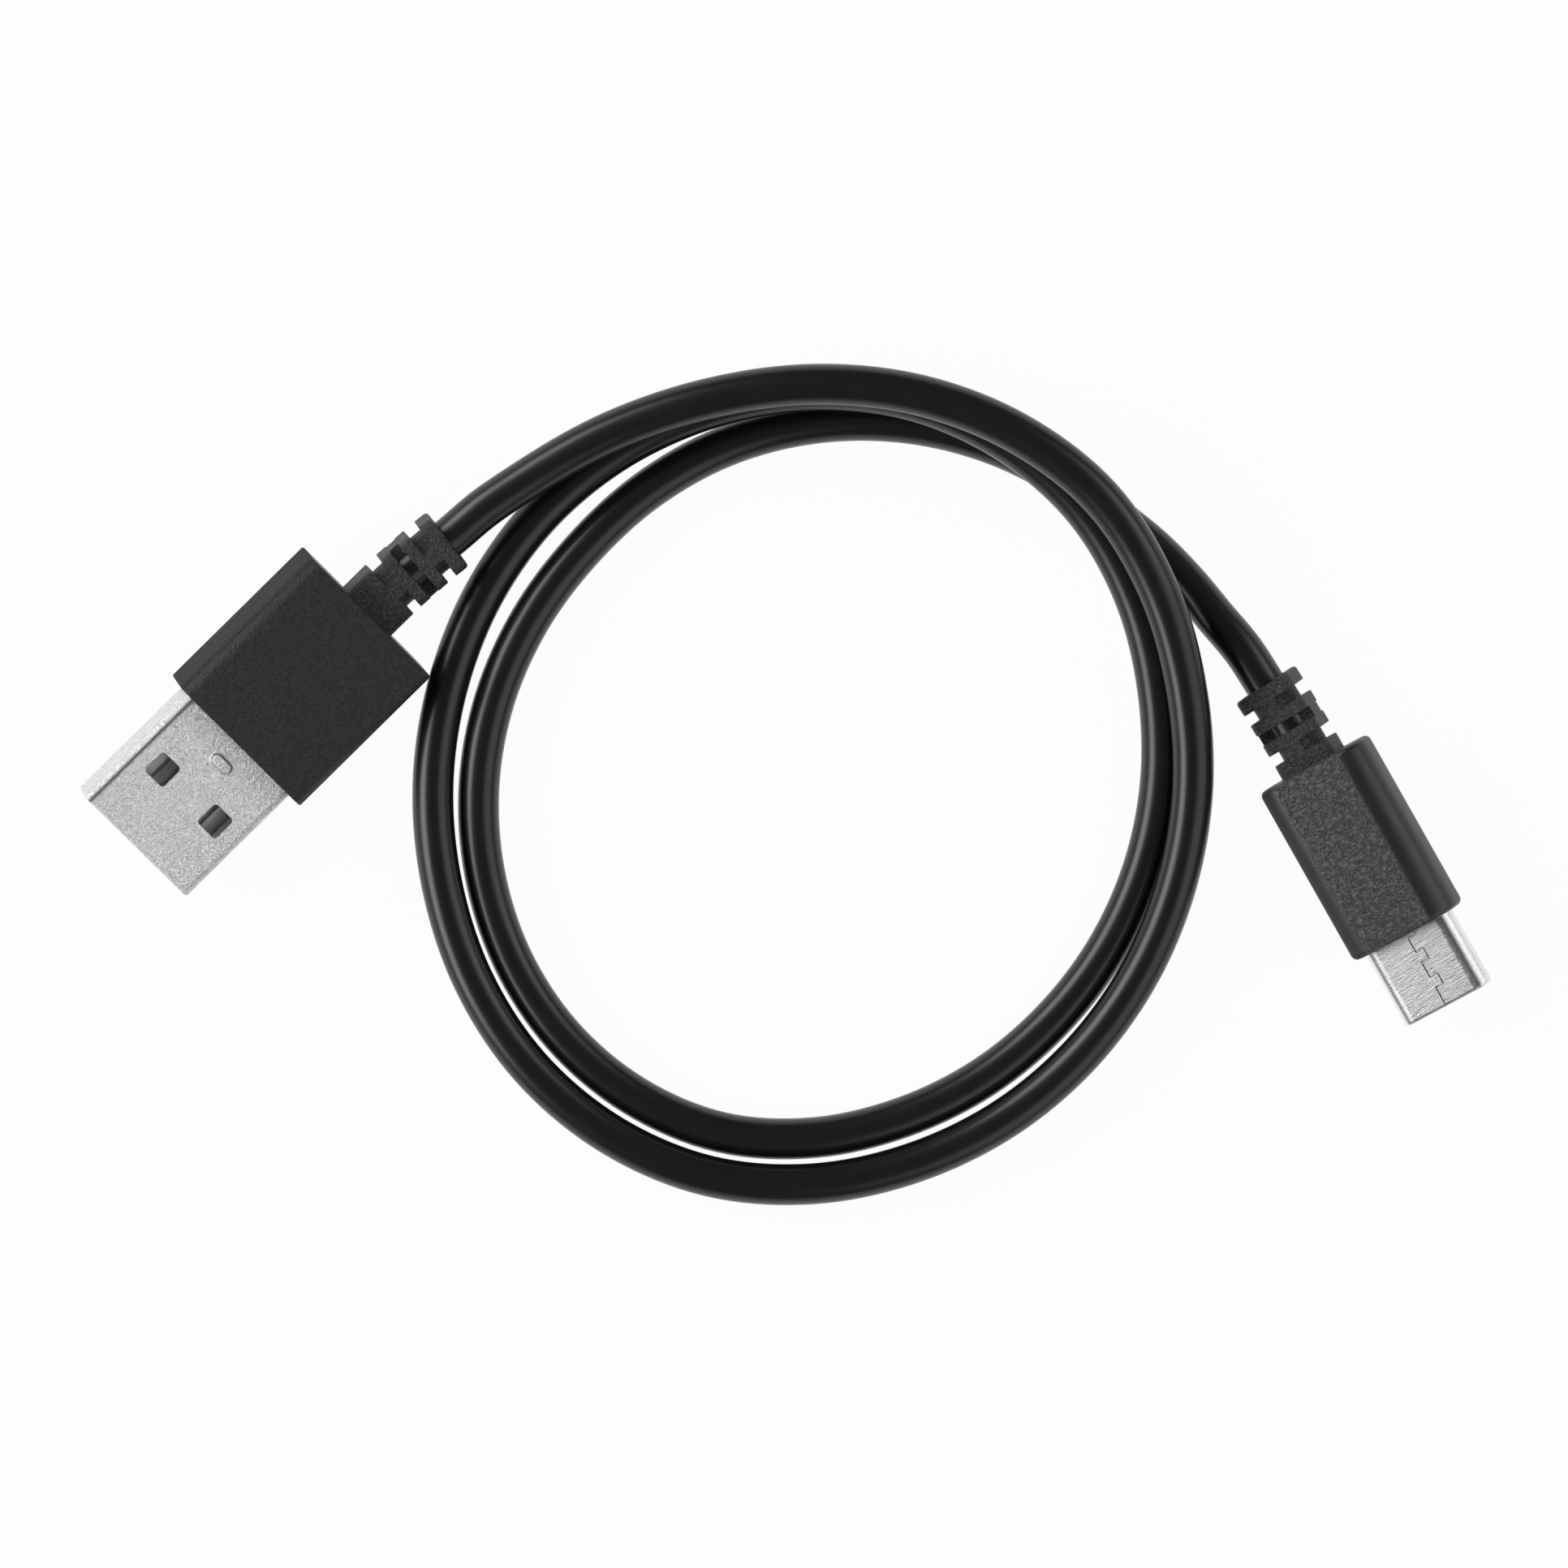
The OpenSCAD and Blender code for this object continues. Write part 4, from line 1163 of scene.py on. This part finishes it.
class CABLE_OT_grips(bpy.types.Operator):
    """Make both moulded grips"""

    bl_idname = "cable.grips"
    bl_label = "Grips"

    def execute(self, context):
        paints = {"charger": charger_grip_paint, "phone": phone_grip_paint}
        for plug in plugs(context).values():
            piece = self.grip(plug)
            finish(piece, paints[plug.name]())
            piece.matrix_world = plug.place()
            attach(piece, plug.plug_body)
            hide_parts(f"{plug.name}_plug_grip")
        return {"FINISHED"}

    def grip(self, plug):
        """A rounded block with softened end edges and a hole for the shell."""
        s = plug.set
        section = (s.grip_width, s.grip_height, s.grip_corner)
        hole = rounded(s.shell_width, s.shell_height, s.shell_corner)
        rear = reversed(rim(0, -1, s.grip_edge))
        front = rim(s.grip_length, 1, s.grip_edge)
        skin = Skin()
        rings = [section_ring(x, shrunk(*section, inset)) for x, inset in (*rear, *front)]
        rings.append(section_ring(s.grip_length, hole))
        rings.append(section_ring(s.grip_length - HOLE_DEPTH, hole))
        made = skin.tube(rings)
        skin.cap(made[0], flip=True)
        return skin.object(f"{plug.name}_plug_grip_skin", 50)


# Section of the dimple from its skirt to its crown: inset as a share of its width, and rise as
# a share of its height
DIMPLE_PROFILE = (
    (-0.3, -0.15), (-0.16, 0.08), (-0.04, 0.45), (0, 0.6),
    (0.04, 0.54), (0.1, 0.75), (0.22, 0.93), (0.36, 1),
)
# The dimple's corners are rounded by a hair less than half its width
HAIR = 0.01 * MM
# How far the inner edge of a shell's mouth lies behind the rim
MOUTH_SETBACK = 0.03 * MM
# From the grip's front to the first change of side of each joint of the sheet
CHARGER_SEAM_FIRST = 1.2 * MM
PHONE_SEAM_FIRST = 0.35 * MM
# How deep each joint is cut, as a share of the sheet
CHARGER_SEAM_DEPTH = 0.6
PHONE_SEAM_DEPTH = 0.8
# Play between the tongue and the shell, and how far its two parts run into each other
TONGUE_PLAY = 0.05 * MM
TONGUE_LAP = 0.1 * MM
TONGUE_EDGE = 0.03 * MM


class CABLE_OT_shells(bpy.types.Operator):
    """Make both steel shells, with the charger plug's windows and the joints of their sheet"""

    bl_idname = "cable.shells"
    bl_label = "Steel shells"

    def execute(self, context):
        both = plugs(context)
        charger = self.shell(both["charger"])
        carve(charger, self.charger_cuts(both["charger"]))
        join(charger, self.dimple(both["charger"]))
        finish(charger, charger_steel_paint(both["charger"]))
        phone = self.shell(both["phone"])
        carve(phone, self.phone_cuts(both["phone"]))
        finish(phone, phone_steel_paint())
        for piece, plug in ((charger, both["charger"]), (phone, both["phone"])):
            soften(piece, plug.set.cut_edge)
            piece.matrix_world = plug.place()
            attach(piece, plug.plug_body)
            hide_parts(f"{plug.name}_plug_shell")
        return {"FINISHED"}

    def shell(self, plug):
        """A tube of sheet with a rounded front rim."""
        s = plug.set
        section = (s.shell_width, s.shell_height, s.shell_corner)
        inner = (s.shell_width - 2 * s.sheet, s.shell_height - 2 * s.sheet, s.shell_corner - s.sheet)
        skin = Skin()
        rings = [section_ring(s.shell_back, rounded(*section))]
        rings += [section_ring(x, shrunk(*section, inset)) for x, inset in rim(plug.front, 1, s.lip, 5)]
        rings.append(section_ring(plug.front - MOUTH_SETBACK, rounded(*inner)))
        rings.append(section_ring(s.shell_back, rounded(*inner)))
        skin.tube(rings, closed=True)
        return skin.object(f"{plug.name}_plug_shell_sheet", 30)

    def charger_cuts(self, plug):
        """The four latch windows, and the joint of the sheet on the lower side."""
        s = plug.set
        skin = Skin()
        x = plug.front - s.window_setback
        square = rounded(s.window, s.window, s.window_corner, 5)
        for side in (-1, 1):
            y = side * s.window_spacing / 2
            prism(skin, [(x + u, y + v) for u, v in square], -s.shell_height, s.shell_height)
        joint = ribbon(seam_line(plug, CHARGER_SEAM_FIRST), s.seam_width)
        prism(skin, joint, -s.shell_height, -s.shell_height / 2 + CHARGER_SEAM_DEPTH * s.sheet)
        return skin.object("charger_cuts")

    def phone_cuts(self, plug):
        """The dovetailed joint of the sheet on the upper side."""
        s = plug.set
        skin = Skin()
        joint = ribbon(seam_line(plug, PHONE_SEAM_FIRST), s.seam_width)
        prism(skin, joint, s.shell_height / 2 - PHONE_SEAM_DEPTH * s.sheet, s.shell_height)
        return skin.object("phone_cuts")

    def dimple(self, plug):
        """The oval that is pressed out of the upper face: a soft skirt, a crease and a low crown."""
        s = plug.set
        skin = Skin()
        x = plug.front - s.dimple_setback
        rings = []
        for inset, rise in DIMPLE_PROFILE:
            inset *= s.dimple_width
            outline = shrunk(s.dimple_width, s.dimple_length, s.dimple_width / 2 - HAIR, inset)
            height = s.shell_height / 2 + rise * s.dimple_rise
            rings.append([Vector((x + u, v, height)) for u, v in outline])
        made = skin.tube(rings)
        skin.cap(made[-1])
        return skin.object("dimple")


def seam_line(plug, first):
    """The joint of a shell's sheet, along X: it changes sides five times through undercut dovetails."""
    s = plug.set
    near, far = s.seam_middle + s.seam_swing / 2, s.seam_middle - s.seam_swing / 2
    x, line = s.grip_length + first, [(s.shell_back - PAST, near)]
    for tooth in (s.seam_wide, s.seam_narrow, s.seam_wide, s.seam_narrow, 0):
        line += [(x + s.seam_undercut, near), (x - s.seam_undercut, far)]
        near, far = far, near
        x += tooth
    return softened([*line, (plug.front + PAST, near)], s.seam_round)


def softened(line, radius):
    """The (x, y) line with its corners rounded off."""
    line = [Vector(p) for p in line]
    out = [line[0]]
    for a, corner, b in zip(line, line[1:], line[2:]):
        before = corner + radius * (a - corner).normalized()
        after = corner + radius * (b - corner).normalized()
        for t in (0, 0.25, 0.5, 0.75, 1):
            out.append((1 - t) ** 2 * before + 2 * t * (1 - t) * corner + t**2 * after)
    return [tuple(p) for p in (*out, line[-1])]


class CABLE_OT_tongue(bpy.types.Operator):
    """Make the charger plug's tongue, with a channel for each of its four contacts"""

    bl_idname = "cable.tongue"
    bl_label = "Tongue"

    def execute(self, context):
        plug = plugs(context)["charger"]
        s = plug.set
        half = s.shell_width / 2 - s.sheet - TONGUE_PLAY
        high = s.shell_height / 2 - s.sheet - TONGUE_PLAY
        low = -high
        top = s.sheet - s.shell_height / 2 + s.tongue_height
        outline = [(-half, low), (half, low), (half, top)]
        for middle in (s.outer_contact, s.inner_contact, -s.inner_contact, -s.outer_contact):
            left, right = (middle + side * (s.contact_width / 2 + s.channel_side) for side in (1, -1))
            floor = top - s.channel_depth
            outline += [(left, top), (left, floor), (right, floor), (right, top)]
        outline.append((-half, top))
        block = [(-half, low), (half, low), (half, high), (-half, high)]
        skin = Skin()
        for shape, start, stop in (
            (outline, s.tongue_block - TONGUE_LAP, plug.front - s.tongue_setback),
            (block, s.shell_back, s.tongue_block),
        ):
            made = skin.tube([section_ring(start, shape), section_ring(stop, shape)])
            skin.cap(made[0], flip=True)
            skin.cap(made[-1])
        piece = soften(skin.object("charger_plug_tongue_moulding"), TONGUE_EDGE)
        paint = plastic_paint("white tongue", grey(0.6, -0.02), grey(0.68, -0.02), 0.38)
        finish(piece, paint)
        piece.matrix_world = plug.place()
        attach(piece, plug.plug_body)
        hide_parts("charger_plug_tongue")
        return {"FINISHED"}


class CABLE_OT_inner_parts(bpy.types.Operator):
    """Finish the contacts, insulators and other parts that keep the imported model's shape"""

    bl_idname = "cable.inner_parts"
    bl_label = "Inner parts"

    def execute(self, context):
        gold = metal_paint("gold contact", (0.72, 0.5, 0.2), (0.83, 0.6, 0.27), 0.18, 2)
        nickel = metal_paint("nickel contact", grey(0.58, -0.01), grey(0.7, -0.01), 0.3, 2)
        spring = metal_paint("spring steel", grey(0.5), grey(0.6), 0.28, 2)
        solder = metal_paint("solder", grey(0.42, 0.02), grey(0.55, 0.02), 0.3, 4)
        can = metal_paint("can steel", grey(0.52, -0.01), grey(0.62, -0.02), 0.34, 2)
        black = plastic_paint("black insulator", grey(0.012, 0.001), grey(0.02, 0.001), 0.35)
        milky = plastic_paint("milky mould", (0.5, 0.48, 0.42), (0.6, 0.58, 0.52), 0.5)
        ceramic = plastic_paint("resistor body", grey(0.015, 0.001), grey(0.03, 0.002), 0.25)
        paints = {
            "charger_plug_power_contact": nickel,
            "charger_plug_data_minus_contact": nickel,
            "charger_plug_data_plus_contact": nickel,
            "charger_plug_ground_contact": nickel,
            "charger_plug_solder_joints": solder,
            "charger_plug_rear_can": can,
            "charger_plug_inner_mould": milky,
            "phone_plug_housing": black,
            "phone_plug_upper_contacts": gold,
            "phone_plug_lower_contacts": gold,
            "phone_plug_latch": spring,
            "phone_plug_ground_springs": spring,
            "phone_plug_board": board_paint(),
            "phone_plug_resistor": ceramic,
            "phone_plug_solder_joints": solder,
            "phone_plug_rear_can": can,
            "phone_plug_inner_mould": milky,
        }
        for node, paint in paints.items():
            finish(frame["nodes"][node], paint)
        return {"FINISHED"}


class CABLE_PT_panel(bpy.types.Panel):
    """Sizes of the cable and the operators that make it"""

    bl_idname = "CABLE_PT_panel"
    bl_label = "Charging cable"
    bl_space_type = "VIEW_3D"
    bl_region_type = "UI"
    bl_category = "Cable"

    def draw(self, context):
        scene = context.scene
        for group in GROUPS:
            settings = getattr(scene, group)
            column = self.layout.column(align=True)
            for name in settings.__annotations__:
                column.prop(settings, name)
        for operator in OPERATORS:
            self.layout.operator(operator.bl_idname)


# ---- Registration ---------------------------------------------------------------------------

GROUPS = {
    "cable_stage": StageSettings,
    "cable_cord": CordSettings,
    "cable_relief": ReliefSettings,
    "cable_charger_plug": ChargerPlugSettings,
    "cable_phone_plug": PhonePlugSettings,
}
OPERATORS = (
    CABLE_OT_stage, CABLE_OT_cord, CABLE_OT_reliefs, CABLE_OT_grips, CABLE_OT_shells, CABLE_OT_tongue,
    CABLE_OT_inner_parts,
)
CLASSES = (*GROUPS.values(), *OPERATORS, CABLE_PT_panel)


def register():
    for cls in CLASSES:
        bpy.utils.register_class(cls)
    for name, group in GROUPS.items():
        setattr(bpy.types.Scene, name, PointerProperty(type=group))


def unregister():
    for name in GROUPS:
        delattr(bpy.types.Scene, name)
    for cls in reversed(CLASSES):
        bpy.utils.unregister_class(cls)


def main():
    """Makes the whole scene in order."""
    register()
    bpy.ops.cable.stage()
    bpy.ops.cable.cord()
    bpy.ops.cable.reliefs()
    bpy.ops.cable.grips()
    bpy.ops.cable.shells()
    bpy.ops.cable.tongue()
    bpy.ops.cable.inner_parts()


if __name__ == "__main__":
    main()
